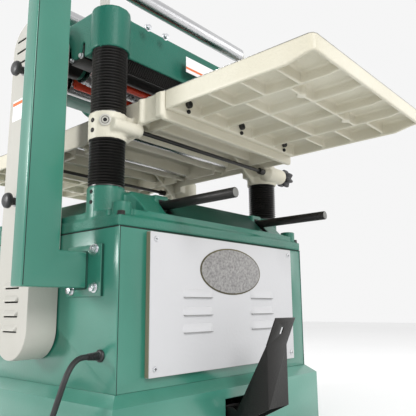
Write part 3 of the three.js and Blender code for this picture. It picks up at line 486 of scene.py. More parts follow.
def through(points, step=4.0):
    """A centripetal Catmull-Rom curve through the points, sampled about every step millimetres."""
    points = [Vector(p) for p in points]
    points = [2 * points[0] - points[1]] + points + [2 * points[-1] - points[-2]]
    line = []
    for a, b, c, d in zip(points, points[1:], points[2:], points[3:]):
        t1 = (b - a).length ** 0.5
        t2 = t1 + (c - b).length ** 0.5
        t3 = t2 + (d - c).length ** 0.5
        count = max(2, round((c - b).length / step))
        for i in range(count):
            t = t1 + (t2 - t1) * i / count
            a1 = a * ((t1 - t) / t1) + b * (t / t1)
            a2 = b * ((t2 - t) / (t2 - t1)) + c * ((t - t1) / (t2 - t1))
            a3 = c * ((t3 - t) / (t3 - t2)) + d * ((t - t2) / (t3 - t2))
            b1 = a1 * ((t2 - t) / t2) + a2 * (t / t2)
            b2 = a2 * ((t3 - t) / (t3 - t1)) + a3 * ((t - t1) / (t3 - t1))
            line.append(b1 * ((t2 - t) / (t2 - t1)) + b2 * ((t - t1) / (t2 - t1)))
    return line + [points[-2]]


def tube_along(shape, line, radius, sides=12):
    """A round tube along a line of points, carried along without twist."""
    across = None
    rings = []
    turn = circle(sides)
    for i, point in enumerate(line):
        ahead = (line[min(i + 1, len(line) - 1)] - line[max(i - 1, 0)]).normalized()
        if across is None:
            across = ahead.orthogonal().normalized()
        across = (across - ahead * across.dot(ahead)).normalized()
        other = ahead.cross(across)
        rings.append([shape.mesh.verts.new(point + (across * c + other * s) * radius)
            for c, s in turn])
    shape.skin(rings)


def make_plug():
    low, high = corner_of("plug", 0), corner_of("plug", 1)
    rear = high.x
    y, z = PLUG_AT
    boot, shell, pins = Shape(), Shape(), Shape()
    boot.lathe("x", [(5.8, rear), (7.2, rear - 3), (7.6, rear - 12), (9.5, rear - 20)], (y, z), 20)
    outline = [(y - 15, z - 10), (y - 11, z - 14), (y + 11, z - 14), (y + 15, z - 10),
        (y + 15, z + 10), (y + 11, z + 14), (y - 11, z + 14), (y - 15, z + 10)]
    small = [(y + (u - y) * 0.72, z + (v - z) * 0.72) for u, v in outline]
    shell.loft("x", [(rear - 54, outline), (rear - 26, outline), (rear - 16, small)])
    for i in range(4):
        shell.box((rear - 46 + i * 6, rear - 43 + i * 6), (y - 15.8, y + 15.8), (z - 6, z + 6))
    for dy in (-8, 8):
        pins.box((low.x + 4, rear - 52), (y + dy - 0.8, y + dy + 0.8), (z - 3.5, z + 3.5))
    pins.cylinder("x", 2.4, (low.x, rear - 52), (y, z + 8.5), 16, soft=0.8)
    return [boot.place("plug_boot", "cord"), shell.place("plug_shell", "black", bevel=1.0,
        replaces=("plug",)), pins.place("plug_pins", "steel", bevel=0.3)]


def make_cord():
    # Two turns spiral in on the floor and two spiral out on top of them, and then the plug.
    points = list(CORD_ROUTE)
    steps = 18
    for i in range(1, int(4.25 * steps) + 1):
        turn = i / steps
        radius = 69 - 11.7 * turn if turn <= 2 else 45.6 + 11.7 * max(0, turn - 2.3)
        angle = 2 * math.pi * turn
        points.append((COIL_CENTRE[0] + radius * math.cos(angle),
            COIL_CENTRE[1] + radius * math.sin(angle), 6 + 11.6 * smoothstep(turn, 2.0, 2.3)))
    points += [(-506, 98.6, 17), (-519, 98.8, 15.2), (-531, *PLUG_AT), (-538, *PLUG_AT)]
    line = through(points)
    shape = Shape()
    tube_along(shape, line, CORD_RADIUS)
    cord = shape.place("cord", "cord", replaces=("power_cord", "cord_coil"), angle=80)
    make_plug()

    relief = Shape()
    face = -343.4
    profile = [(12.4, face), (12.4, face - 3.4), (11.2, face - 5), (8.6, face - 6)]
    for i in range(6):
        start = face - 8 - i * 3.8
        wide = 8.4 - i * 0.3
        profile += [(wide, start), (wide, start - 2.2), (wide - 1.3, start - 2.6),
            (wide - 1.3, start - 3.6)]
    relief.lathe("x", profile + [(6.3, face - 31.2)], CORD_ROUTE[0][1:], 28)
    relief.place("cord_gland", "black", replaces=("strain_relief",), angle=50)


# ------------------------------------------------------------------ stand
def louvre(shape, axis, across, foot, face, out, bulge=5.0, height=16.0):
    """A pressed hood over a slot. across is its two ends, foot its lower lip, face the sheet's
    surface and out the sign of the side that it stands out to."""
    outlines = []
    near, far = across
    for i in range(13):
        u = -1 + i / 6
        swell = bulge * math.sqrt(max(0.0, 1 - (max(0, abs(u) - 0.82) / 0.18) ** 2)) + 0.25
        profile = [(0, 0), (swell, 0.4), (swell * 0.97, 2.5), (swell * 0.82, height * 0.36),
            (swell * 0.5, height * 0.66), (swell * 0.16, height * 0.9), (0, height)]
        points = [(face + out * (d - 0.4), foot + h) for d, h in profile]
        if axis == "y":
            points = [(b, a) for a, b in points]
        outlines.append((near + (far - near) * (u + 1) / 2, points))
    shape.loft(axis, outlines)


def make_cabinet_joints_and_shade():
    """The dark lines where the casting sits on the cabinet, and at the cabinet's upright edges:
    near-black strips for the joints, with painted shade in the gap under the casting.
    """
    joint = Shape()
    low, high = corner_of("stand_cabinet", 0), corner_of("stand_cabinet", 1)
    wall = corner_of("front_panel", 1).y
    under_casting = (high.z - 2.4, high.z - 0.2)
    for y in (wall, -wall):
        joint.box((low.x + 1.5, high.x - 1.5), (y - 0.25, y + 0.25), under_casting)
    for x in (low.x, high.x):
        joint.box((x - 0.25, x + 0.25), (wall + 1.5, -wall - 1.5), under_casting)
        inset = 2.6 if x < 0 else -2.6
        for y in (wall, -wall):
            joint.box(rising(x + inset, x + inset * 1.4), (y - 0.25, y + 0.25),
                (124, high.z - 2.4))
    joint.place("cabinet_joints_and_gap_shade", "hole")


def make_front_panel():
    low, high = corner_of("front_panel", 0), corner_of("front_panel", 1)
    front = low.y
    tray, sides = Shape(), Shape()
    edge, inset = ([(low.z + d, low.x + d), (low.z + d, high.x - d), (high.z - d, high.x - d),
        (high.z - d, low.x + d)] for d in (0, 2))
    tray.loft("y", [(front + 2, inset), (high.y, inset), (high.y, edge), (front, edge)])
    tray.place("front_panel_tray", "white", bevel=1.8, segments=3, replaces=("front_panel",))
    # Olive skins on the tray's side walls: painted shade and a painted green reflection on the
    # white paint.
    deep = (front + 1.6, high.y)
    for x in (low.x, high.x):
        sides.box((x - 0.3, x + 0.3), deep, (low.z + 1, high.z - 1))
    for z in (low.z, high.z):
        sides.box((low.x + 1, high.x - 1), deep, (z - 0.3, z + 0.3))
    sides.place("front_panel_edges_painted_shade", "edge")
    pressed, slits = Shape(), Shape()
    for side in SIDES:
        for z in (332, 293, 256):
            louvre(pressed, "x", span(side, 73, 172), z + 1, front, -1, 6.0, 19.0)
            slits.box(span(side, 76, 169), (front - 4.6, front + 0.2), (z - 0.3, z + 1.2))
    pressed.place("panel_louvres", "white", angle=45)
    slits.place("panel_louvre_slits", "shadow")
    screws, dark = Shape(), Shape()
    slot = (front - 3.5, front - 2.9)
    for x in (-254, 254):
        for z in (453.5, 188.5):
            screws.lathe("y", [(5.6, front + 0.5), (5.6, front - 1), (4.6, front - 2.6),
                (2.4, front - 3.2), (0.01, front - 3.3)], (z, x), 24)
            dark.box((x - 3.4, x + 3.4), slot, (z - 0.6, z + 0.6))
            dark.box((x - 0.6, x + 0.6), slot, (z - 3.4, z + 3.4))
    screws.place("panel_screws", "zinc")
    dark.place("panel_screw_slots", "hole")
    for name, finish, half_x, half_z, y, depth in (("badge_rim", "olive", 116, 56, front, 1.6),
            ("badge_plate", "pewter", 112.5, 52.5, front - 1.2, 1.2)):
        oval = [(396 + half_z * s, half_x * c) for c, s in circle(72)]
        Shape().prism("y", oval, (y - depth, y + 0.5)).place(name, finish, bevel=0.5)


def make_base_casting():
    def sockets(shape):
        for _, sx, sy in CORNERS:
            shape.ring("z", [(29, 476), (29, 571), (42.1, 571), (42.1, 476)],
                (sx * COLUMN_X, sy * COLUMN_Y), 64)
            shape.cylinder("z", 20.5, (476, 528.7), (sx * BOLT_X, sy * BOLT_Y), 32)
    from_node("base_casting", "green_cast", voxel=2.6, smooth=2, keep=KEEP, extra=sockets)
    bolts, holes = Shape(), Shape()
    for _, sx, sy in CORNERS:
        socket_screw(bolts, holes, "z", (522.8, 1), (sx * BOLT_X, sy * BOLT_Y), 8.5, 6)
        for z in (559, 536):
            grub_hole(holes, "x", (sx * 342.5, sx), (sy * 172, z), 4.4)
        # near-black plates in the notch that a lifting bar comes out of: painted shade inside the
        # notch
        notch_shade = rising(sx * BAR_X - 12.2, sx * BAR_X + 12.2)
        holes.box(notch_shade, span(sy, 228, 231.5), (516.4, 555))
        holes.box(notch_shade, span(sy, 229, 256), (515.5, 517.6))
        for x in notch_shade:
            holes.prism("x", [(sy * 229, 517), (sy * 258, 517), (sy * 223, 554), (sy * 221, 554)],
                (x - 0.9, x + 0.9))
        bolts.hexagon("z", 15, (498, 507), (sx * 330, sy * 261))
        bolts.cylinder("z", 9.5, (497.8, 499.8), (sx * 330, sy * 261), 24)
    bolts.place("base_bolts", "blackened", bevel=0.4)
    holes.place("set_screw_holes_and_notch_shade", "hole")
    band = Shape()
    low, high = 517.5, 565
    for sy in SIDES:
        foot, head = (sy * (262 - 50 * (z - 514.5) / 52.5) for z in (low, high))
        band.prism("x", [(foot + sy * 1.0, low), (head + sy * 1.0, high), (head - sy * 3, high),
            (foot - sy * 3, low)], (-171.5, 171.5))
    band.place("deck_band", "deck", bevel=0.4)


def make_stand():
    from_node("base_plinth", "green", bevel=2.0)
    from_node("stand_cabinet", "green", bevel=1.4)
    make_cabinet_joints_and_shade()
    make_front_panel()
    make_base_casting()
    for corner, sx, sy in CORNERS:
        node = "lifting_bar_" + corner
        at = (BAR_Z, sx * BAR_X)
        Shape().cylinder("y", 11, span(sy, 162, 446.4), at, 40, soft=1.2).place(
            node + "_rod", "blackened", node, replaces=(node,))
        Shape().cylinder("y", 9.4, span(sy, 445.5, 447), at, 40, soft=0.4).place(
            node + "_end", "dull", node)


# ------------------------------------------------------------------ mobile base
def make_mobile_base():
    from_node("foot_pedal", "blackened", "foot_pedal", bevel=0.9)
    from_node("caster_fork", "zinc", "caster_fork", bevel=0.7)
    wheel, rear = Shape(), Shape()
    low, high = corner_of("caster_wheel", 0), corner_of("caster_wheel", 1)
    wheel.lathe("x", [(5, -16), (5, -9), (8, -9), (9, -7), (16, -7), (19, -9), (21, -8.6),
        (22, -5), (22, 5), (21, 8.6), (19, 9), (16, 7), (9, 7), (8, 9), (5, 9), (5, 16)],
        ((low.y + high.y) / 2, (low.z + high.z) / 2), 48)
    wheel.place("caster_tread", "black", "caster_wheel", replaces=("caster_wheel",), angle=40)
    axle = (245, 39.5)
    rear.cylinder("x", 7, (-292, 292), axle, 32, soft=1)
    near, far = 240, 272
    for side in SIDES:
        face = [(10, near), (16, near), (18, near + 3), (29, near + 3), (31, near), (35, near),
            (38, near + 3), (38, far - 3), (35, far), (31, far), (29, far - 3), (18, far - 3),
            (16, far), (10, far)]
        rear.lathe("x", [(r, side * a) for r, a in face], axle, 56)
    rear.place("rear_wheels", "black", "rear_wheel_axle", replaces=("rear_wheel_axle",), angle=40)


# ------------------------------------------------------------------ columns and bellows
def bellows_profile(foot, top, folds):
    outer, inner, flange, bore = 41.0, 32.5, 39.9, 29.6
    pitch = (top - foot - 6) / folds
    profile = [(bore, foot), (flange, foot), (flange, foot + 3), (inner, foot + 3)]
    for i in range(folds):
        start = foot + 3 + i * pitch
        profile += [(inner + 1.2, start + pitch * 0.18), (outer - 0.8, start + pitch * 0.36),
            (outer, start + pitch * 0.5), (outer - 0.8, start + pitch * 0.64),
            (inner + 1.2, start + pitch * 0.82), (inner, start + pitch)]
    profile[-1] = (inner, top - 3)
    return profile + [(flange, top - 3), (flange, top), (bore, top)]


def make_columns():
    for corner, sx, sy in CORNERS:
        at = (sx * COLUMN_X, sy * COLUMN_Y)
        Shape().cylinder("z", 28, (480.3, 985), at, 64, soft=1).place(
            "column_" + corner + "_shaft", "steel", replaces=("column_" + corner,))
        for level, foot, top, folds, pair in (("lower", 572.3, 711.7, 20, ("stand", "table")),
                ("upper", 742.3, 904.7, 22, ("table", "stand"))):
            node = level + "_bellows_" + corner
            piece = Shape().ring("z", bellows_profile(foot, top, folds), at, 44).place(
                node + "_folds", "rubber", None, replaces=(node,), angle=50)
            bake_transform(piece)


# ------------------------------------------------------------------ table
def cast_table(shape):
    for _, sx, sy in CORNERS:
        shape.ring("z", [(41.2, 680), (41.2, 711.8), (29, 711.8), (29, 741.5), (44.1, 741.5),
            (44.1, 680)], (sx * COLUMN_X, sy * COLUMN_Y), 64)
        # the barrel that the lock rod runs through, closed at its left end
        barrel, end = (15, -321.5) if sx < 0 else (23, 339.5)
        at = (sy * LOCK_Y, LOCK_Z)
        shape.ring("x", [(6, sx * 244), (6, end), (barrel, end), (barrel, sx * 262)], at, 48)
        if sx < 0:
            shape.cylinder("x", 14.6, (-324.5, -321.2), at, 48)
    # the bosses and the thicker rim where the extension is bolted on
    for sx, sy in QUARTERS:
        x = sx * TABLE_HALF_X
        shape.box(rising(x - sx * 5, x + sx * 9), span(sy, 227, 240), (722.5, 780))
        shape.box(rising(x - sx * 5, x + sx * 8), span(sy, 283, 304), (722.5, 780))


def make_table_top():
    """The ground faces of the table and its extensions."""
    top = Shape()
    level = (TABLE_Z, TABLE_Z + 1)
    half = TABLE_HALF_X - 0.7
    for y in ((-307.5, -108.5), (-59.5, 59.5), (108.5, 307.5)):
        top.box((-half, half), y, level)
    for sx, sy in QUARTERS:
        top.box(span(sx, 232.5, half), span(sy, 59, 109), level)
    outline = [(-half, 308.8), (half, 308.8), (half, 668), (250, 676), (242, 679.3), (-242, 679.3),
        (-250, 676), (-half, 668)]
    for sy in SIDES:
        top.prism("z", [(x, sy * y) for x, y in outline], level)
    top.place("ground_table_top", "ground", "table", bevel=0.3)


def make_table_screws():
    bright, dark, grubs = Shape(), Shape(), Shape()
    for sy in SIDES:
        wall = sy * (TABLE_HALF_Y + 14)
        for x in (-195, 0, 195):
            socket_screw(bright, dark, "y", (wall, sy), (760.5, x), 8.6, 8)
            socket_screw(grubs, dark, "y", (wall, sy), (743.8, x), 4.8, 4.5)
    bright.place("extension_screws", "blackened", "table", angle=40)
    dark.place("extension_screw_sockets", "hole", "table")
    grubs.place("extension_set_screws", "hole", "table")
    bright, dark, boss = Shape(), Shape(), Shape()
    for _, sx, sy in CORNERS:
        for z in (722, 699):
            grub_hole(dark, "x", (sx * 344.7, sx), (sy * 171, z), 5.2)
            bright.cylinder("x", 2.6, rising(sx * 344.6, sx * 345.3), (sy * 171, z), 16)
        slanted_boss(boss, dark, (sx * COLUMN_X, sy * COLUMN_Y, 718.5), (sx * 0.714, sy * 0.70),
            44)
    boss.place("collar_bosses", "cream", "table", angle=40)
    bright.place("collar_screws", "blackened", "table", angle=40)
    dark.place("collar_set_screws", "hole", "table")


def make_table():
    from_node("main_table", "cream_cast", "table", voxel=VOXEL, smooth=3, keep=KEEP,
        extra=cast_table)
    for end, sy in ENDS:
        from_node(end + "_extension", "cream_cast", "table", voxel=2.6, smooth=3, keep=0.6)
    make_table_top()
    make_table_screws()
    for end, sy in ENDS:
        node = end + "_bed_roller"
        roller, rod, knob = Shape(), Shape(), Shape()
        roller.cylinder("x", 20, (-229, 229), (sy * FEED_Y, 762.5), 64, soft=1.5)
        roller.cylinder("x", 8, (-240, 240), (sy * FEED_Y, 762.5), 32)
        roller.place(node + "_tube", "steel", node, replaces=(node,))
        node = end + "_table_lock"
        y, z = sy * LOCK_Y, LOCK_Z
        rod.cylinder("x", 5, (-321, 347), (y, z), 24, soft=0.8)
        rod.cylinder("x", 9, (226, 261.7), (y, z), 32, soft=0.8)
        rod.cylinder("x", 9, (340.3, 346), (y, z), 32, soft=0.5)
        rod.place(end + "_lock_rod", "blackened", node, replaces=(node,))
        lobes = [(c, s, 23.8 + 4.6 * math.cos(7 * (2 * math.pi * i / 84)))
            for i, (c, s) in enumerate(circle(84))]
        knob.loft("x", [(x, [(y + (r * size) * c, z + (r * size) * s) for c, s, r in lobes])
            for x, size in ((345.2, 0.62), (347, 0.8), (351, 0.97), (356, 1), (368, 1),
            (374, 0.95), (377.6, 0.8), (379, 0.55))])
        knob.place(end + "_lock_knob", "black", node, angle=50)


# ------------------------------------------------------------------ head
def cast_head(shape):
    for _, sx, sy in CORNERS:
        shape.ring("z", [(41.3, 897.5), (41.3, 904.8), (29, 904.8), (29, 984), (46.1, 984),
            (46.1, 897.5)], (sx * COLUMN_X, sy * COLUMN_Y), 64)
    shape.ring("x", [(10.6, 353), (10.6, 396), (22.1, 396), (22.1, 353)], HANDWHEEL_HUB, 48)


def make_head():
    from_node("head_casting", "green_head_painted_shade", voxel=VOXEL, smooth=4, keep=0.45, extra=cast_head)
    front = corner_of("head_casting", 0).y
    Shape().box((-90, 52), (front - 0.9, front + 0.2), (914, 957)).place(
        "head_label", "label", bevel=0.2)
    Shape().box((-90, 52), (front - 1.2, front - 0.7), (923, 929)).place(
        "head_label_stripes", "orange")
    bolts = Shape()
    for x in (-226, -168, 252):
        washer_bolt(bolts, "y", (front, -1), (980, x), 13, 7)
    for _, sx, sy in CORNERS:
        washer_bolt(bolts, "z", (1000, 1), (sx * COLUMN_X, sy * COLUMN_Y), 24, 8)
    bolts.place("head_bolts", "zinc", bevel=0.4)


def make_bearings():
    """The sprung bearing blocks of the feed rollers, inside and outside the side castings."""
    blocks, screws = Shape(), Shape()
    for sx in SIDES:
        for sy in SIDES:
            y = sy * FEED_Y
            blocks.box(span(sx, 256.5, 263.5), (y - 19, y + 19), (893.5, 950))
            screws.cylinder("z", 6, (1000.2, 1016), (sx * 300, y), 24, soft=1)
            screws.hexagon("z", 15, (1000.2, 1007), (sx * 300, y))
            blocks.box(span(sx, 276, 333), (y - 27, y + 27), (896, 950))
            screws.ring("x", [(8, sx * 333), (8, sx * 335), (15, sx * 335), (16, sx * 333)],
                (y, 922), 32)
            for across in (-19, 19):
                washer_bolt(screws, "x", (sx * 333, sx), (y + across, 904), 10, 5)
        blocks.cylinder("x", 35.5, span(sx, 276, 333), (0, CUTTER_Z), 48, soft=1.5)
    for sx, sy in QUARTERS:
        blocks.ring("x", [(14, sx * 255.5), (14, sx * 263.5), (23, sx * 263.5), (23, sx * 255.5)],
            (sy * FEED_Y, FEED_Z), 40)
    blocks.place("feed_bearing_blocks", "blackened", bevel=0.8)
    screws.place("spring_screws", "zinc", bevel=0.4)


def make_feed():
    comb = Shape()
    y, z = pivot = (-158, 946)
    comb.cylinder("x", 6, (-270, 270), pivot, 32, soft=0.8)
    finger = [(y - 9, z + 2), (y - 5, z + 8), (y + 4, z + 9), (y + 9, z - 2), (y + 16, 921),
        (y + 26, 896), (y + 28, 891), (y + 25, 890.2), (y + 21, 890), (y + 8, 906),
        (y - 4, z - 26)]
    for i in range(75):
        x = -247.9 + i * 6.7
        comb.prism("x", finger, (x - 2.3, x + 2.3))
    comb.place("kickback_comb", "blackened", "anti_kickback_fingers", bevel=0.5, segments=1,
        replaces=("anti_kickback_fingers",))
    from_node("chip_breaker", "red", "chip_breaker", bevel=0.8)
    bar = [(42.8, 893.2), (49.6, 893.2), (50.6, 896), (47.6, 902), (46.6, 952), (43.2, 952),
        (42.0, 902)]
    Shape().prism("x", bar, (-252, 252)).place("pressure_bar", "red", bevel=0.7)
    for node, y, finish in (("infeed_roller", -FEED_Y, "blackened"),
            ("outfeed_roller", FEED_Y, "steel")):
        roller = Shape()
        roller.cylinder("x", 32, (-254, 254), (y, FEED_Z), 72, soft=1.2)
        roller.cylinder("x", 13, (-322, 384), (y, FEED_Z), 40, soft=1)
        roller.place(node + "_tube", finish, node, replaces=(node,))


def make_cutterhead():
    cutter, knives, heads = Shape(), Shape(), Shape()
    cutter.cylinder("x", 37.6, (-256, 256), (0, CUTTER_Z), 72, soft=1)
    cutter.cylinder("x", 17, (-404, 332), (0, CUTTER_Z), 40, soft=1)
    add_pulley(cutter, (0, CUTTER_Z), 31)
    cutter.place("cutterhead_body", "steel", "cutterhead", replaces=("cutterhead",))
    along = Vector((1, 0, 0))
    corners = ((-1, -1), (1, -1), (1, 1), (-1, 1))
    for row in range(4):
        for i in range(34):
            a = 2 * math.pi * row / 4 + i * 0.115
            radial = Vector((0, math.cos(a), math.sin(a)))
            tangent = radial.cross(along)
            centre = Vector((-248 + i * 14.8, 0, CUTTER_Z)) + radial * 37.9
            for shape, half, low, high in ((knives, 6.2, -1.5, 1.5), (heads, 2.6, 1.2, 1.75)):
                shape.skin([[shape.mesh.verts.new(centre + radial * level + along * u * half
                                                  + tangent * v * half) for u, v in corners]
                            for level in (low, high)])
    knives.place("cutter_inserts", "zinc", "cutterhead")
    heads.place("cutter_insert_screws", "blackened", "cutterhead")


def make_covers():
    """What sits on the head and at its right end."""
    from_node("dust_hood", "green", bevel=1.0)
    bead, rivets, cap, bolts = Shape(), Shape(), Shape(), Shape()
    for y in (308, 316.4):
        bead.ring("y", [(60.8, y - 1.4), (60.8, y + 1.4), (63.6, y + 1.4), (64.6, y),
            (63.6, y - 1.4)], (1010, 0), 72)
    bead.place("dust_port_beads", "green", angle=50)
    for x in range(-225, 226, 75):
        rivets.lathe("z", [(4.5, 1085.8), (4.2, 1087.4), (2.2, 1088.6), (0.01, 1088.9)], (x, 170),
            20)
    rivets.place("hood_screws", "zinc")
    from_node("gear_case", "green", bevel=3.0, segments=3)
    for y in (-96, 98):
        for z in (888, 972):
            cap.lathe("x", [(5, 429.6), (5, 432), (3.6, 433.4), (0.01, 433.8)], (y, z), 24)
    cap.place("gear_case_screws", "zinc")
    for side in ("left", "right"):
        from_node(side + "_roller_bracket", "cream", bevel=0.9)
    for sx in SIDES:
        for y in (-60, 0, 60):
            washer_bolt(bolts, "z", (1008, 1), (sx * 303, y), 15, 7)
    bolts.place("bracket_bolts", "zinc", bevel=0.4)
    for end, sy in ENDS:
        node = end + "_return_roller"
        roller = Shape()
        roller.lathe("x", [(8, -290), (8, -272), (19, -272), (22, -269), (22, 269), (19, 272),
            (8, 272), (8, 290)], (sy * 112, 1134), 64)
        roller.place(node + "_tube", "steel", node, replaces=(node,))
    at, node = (40, 935), "feed_speed_knob"
    Shape().cylinder("x", 6, (392, 446), at, 32).place("feed_speed_stem", "steel", node,
        replaces=(node,))
    knob = [(8, 444), (12, 445), (13, 450), (13, 462), (11.5, 467), (7, 469.5), (0.01, 470)]
    Shape().lathe("x", knob, at, 40).place("feed_speed_head", "black", node)


def make_handwheel():
    y, z = hub = HANDWHEEL_HUB
    wheel, handle = Shape(), Shape()
    wheel.ring("x", [(91 + 8.6 * c, 445 + 7.8 * s) for c, s in circle(16)], hub, 96)
    wheel.lathe("x", [(10, 355), (10, 400), (19, 401), (21, 404), (21, 450), (19, 454), (12, 455),
        (12, 453.5), (0.01, 453.5)], hub, 48)
    centre = Vector((444, y, z))
    for spoke in range(3):
        a = 2 * math.pi * spoke / 3
        radial = Vector((0, math.sin(-a), math.cos(a)))
        across = Vector((1, 0, 0)).cross(radial)
        wheel.skin([[wheel.mesh.verts.new(centre + radial * r + across * wide * c
                                          + Vector((deep * s, 0, 0))) for c, s in circle(12)]
                    for r, wide, deep in ((14, 11, 8), (40, 9, 6), (70, 8.5, 5.5), (86, 10, 6))])
    grip = (y, z + 84)
    wheel.cylinder("x", 12.8, (437, 455), grip, 32, soft=1.5)
    wheel.cylinder("x", 5, (453, 510.2), grip, 24)
    wheel.place("handwheel_rim", "steel", "handwheel", replaces=("handwheel",), angle=40)
    handle.ring("x", [(5.4, 455.6), (8.6, 455.6), (9.4, 458), (11.4, 467), (12.9, 481),
        (12.9, 491), (11.4, 503), (9.4, 509.6), (5.4, 511.4)], grip, 40)
    handle.place("handwheel_handle", "black", "handwheel_grip", replaces=("handwheel_grip",),
        angle=50)
    cap = [(5, 511), (5.6, 512), (5.2, 515), (0.01, 516)]
    Shape().lathe("x", cap, grip, 24).place("handwheel_handle_cap", "steel", "handwheel_grip")


# ------------------------------------------------------------------ drive
def add_pulley(shape, at, radius):
    """Two grooved rims on a hub, for a flat ribbed belt."""
    floor = radius - 7
    profile = [(12, -402), (radius - 2, -402), (radius, -401), (radius, -399.6), (floor, -399)]
    for i in range(6):
        start = -399 + i * 5.7
        profile += [(floor, start + 0.6), (radius - 5.6, start + 2.8), (floor, start + 5.1)]
    profile += [(floor, -364.9), (radius, -364.4), (radius, -363), (radius - 2, -362), (12, -362)]
    shape.ring("x", profile, at, 56)


def make_motor():
    motor, bolts, pulley = Shape(), Shape(), Shape()
    at = (0, MOTOR_Z)
    motor.cylinder("x", 90, (-290, -20), at, 72, soft=3)
    motor.lathe("x", [(30, -328), (40, -326), (42, -318), (78, -316), (86, -300), (88, -288),
        (88, -22), (84, -14), (70, -10)], at, 72)
    for c, s in circle(36):
        if s >= -0.72:  # no cooling fins over the foot
            fin = [(r * c - w * s, MOTOR_Z + r * s + w * c) for r, w in ((86, -1.6), (95, -1.0),
                (95, 1.0), (86, 1.6))]
            motor.prism("x", fin, (-262, -48))
    motor.box((-230, -70), (-88, 88), (180, 222))
    motor.box((-230, -70), (-108, 108), (165.3, 177))
    motor.box((-190, -100), (60, 118), (230, 320))
    motor.place("motor_body", "blackened", bevel=0.8, segments=1, replaces=("motor",))
    for x in (-214, -86):
        for y in (-99, 99):
            washer_bolt(bolts, "z", (177, 1), (x, y), 16, 8)
    bolts.place("motor_bolts", "zinc", bevel=0.4)
    add_pulley(pulley, at, 45)
    pulley.cylinder("x", 14, (-404, -329), at, 40, soft=1)
    pulley.place("motor_pulley_wheel", "blackened", "motor_pulley", replaces=("motor_pulley",))
    from_node("drive_belt", "belt", bevel=0.8)


def cover_outline(radius):
    """Half a circle round the lower pulley, and half a circle round the upper one."""
    points = []
    for start, z in ((math.pi, 268), (0, CUTTER_Z)):
        for i in range(33):
            a = start + math.pi * i / 32
            points.append((radius * math.cos(a), z + radius * math.sin(a)))
    return points


def cut_slots(piece, cutters, finish):
    """Cuts the shape's solids out of a piece."""
    tool = cutters.place("cover_cutters", "hole", None)
    modify(piece, "BOOLEAN", operation="DIFFERENCE", solver="EXACT", object=tool)
    dress(piece, finish, 40)
    bpy.data.objects.remove(tool)


def make_belt_cover():
    outer, inner = -418, -346.3
    knobs = (("upper", 867), ("lower", 549))
    low_slots = (358, 328, 297, 265)
    through_wall = (outer - 5, outer + 8)
    cover, cutters, hoods = Shape(), Shape(), Shape()
    cover.loft("x", [(x, cover_outline(radius)) for x, radius in ((outer + 2, 63), (outer + 3, 66),
        (inner, 66), (inner, 68), (outer + 4, 68), (outer + 1.2, 66.8), (outer, 63.6))])
    piece = cover.place("belt_cover_shell", "cream", replaces=("belt_cover",), angle=60)
    for z in (899, 929, 958):
        cutters.box(through_wall, (-48, 48), (z - 3, z + 3))
    for z in low_slots:
        cutters.box(through_wall, (-29, 29), (z - 5, z - 1.5))
    for _, z in knobs:
        cutters.cylinder("x", 5.4, through_wall, (0, z), 24)
    cut_slots(piece, cutters, "cream")
    for z in low_slots:
        louvre(hoods, "y", (-31, 31), z - 1.8, outer, -1, 6.0, 14)
    hoods.place("cover_louvres", "cream", angle=45)
    Shape().box((outer - 0.6, outer + 0.3), (-4, 49), (751, 803)).place("cover_label", "label")
    Shape().box((outer - 0.9, outer - 0.4), (-4, 49), (790, 798)).place(
        "cover_label_stripe", "orange")
    for name, z in knobs:
        body = name + "_cover_knob"
        knob = Shape()
        knob.lathe("x", [(5, -388), (5, -426), (8.6, -426), (9, -428), (9, -436), (15, -436.5),
            (17.6, -438.5), (18, -442), (17, -446.5), (13.5, -449.4), (0.01, -450)], (0, z), 48)
        knob.place(name + "_knob_head", "black", body, replaces=(body,), angle=50)
        bush = [(5.2, -425.6), (12, -425.2), (12, -418.4), (5.2, -418.2)]
        Shape().ring("x", bush, (0, z), 32).place(name + "_knob_bush", "steel", body)


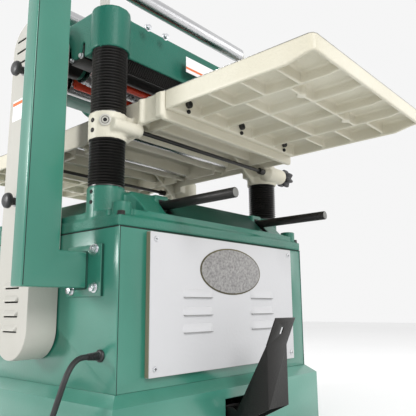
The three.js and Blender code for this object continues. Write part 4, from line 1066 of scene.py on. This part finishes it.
# ------------------------------------------------------------------ switch pedestal
def make_post():
    from_node("switch_post", "green", bevel=2.5, segments=3)
    low, high = corner_of("switch_post", 0), corner_of("switch_post", 1)
    plate = high.x - 6
    bolts, weld = Shape(), Shape()
    for y, z in ((-205, 431), (-205, 352), (-124, 348)):
        washer_bolt(bolts, "x", (plate, -1), (y, z), 15, 8)
    bolts.place("post_bolts", "zinc", bevel=0.4)
    # The weld bead and a strip along the plate's front edge take the dark band green: painted
    # shade.
    line = [Vector((plate - 0.5, y, z)) for y, z in ((-178, 352), (-138, 352), (-138, 426),
        (-178, 426), (-178, 352))]
    for a, b in zip(line, line[1:]):
        tube_along(weld, [a, a.lerp(b, 0.33), a.lerp(b, 0.66), b], 3.2, 8)
    weld.place("post_weld_painted_shade", "deck", voxel=1.2, smooth=2)
    Shape().box((plate + 0.6, plate + 5.6), (-226.3, -225.8), (334.5, 440.5)).place(
        "post_plate_edge_painted_shade", "deck")
    Shape().box((low.x + 3.2, low.x + 4.6), (-178.35, -177.4), (355, high.z - 3)).place(
        "post_seam", "hole")
    Shape().box((-496.5, -415.5), (-178.2, -137.5), (1197, 1202)).place(
        "post_cap", "black", bevel=1.2)


def make_switch():
    from_node("switch_box", "black", bevel=5.0, segments=4)
    front = corner_of("switch_box", 0).y
    collars, start, stop = Shape(), Shape(), Shape()
    collars.ring("y", [(13.6, front - 1), (13.6, front - 5), (17, front - 5), (18, front - 4),
        (18, front - 1)], START_BUTTON, 40)
    collars.ring("y", [(12.7, front - 1), (12.7, front - 2.1), (24, front - 2.1), (26, front - 1)],
        STOP_BUTTON, 48)
    collars.place("button_collars", "black", angle=50)
    start.lathe("y", [(12.9, front + 8), (12.9, front - 4), (12, front - 5.6), (0.01, front - 6)],
        START_BUTTON, 40)
    start.place("start_button_cap", "go", "start_button", replaces=("start_button",))
    stop.lathe("y", [(11.8, front + 8), (11.8, front - 8.7), (22, front - 8.7),
        (25.6, front - 10.6), (26, front - 13.5), (24, front - 17.2), (19, front - 19.2),
        (0.01, front - 20)], STOP_BUTTON, 48)
    stop.place("stop_button_cap", "stop", "stop_button", replaces=("stop_button",), angle=50)


make_camera()
make_studio()
make_materials()
make_cord()
make_stand()
make_mobile_base()
make_columns()
make_table()
make_head()
make_bearings()
make_feed()
make_cutterhead()
make_covers()
make_handwheel()
make_motor()
make_belt_cover()
make_post()
make_switch()
make_floor()
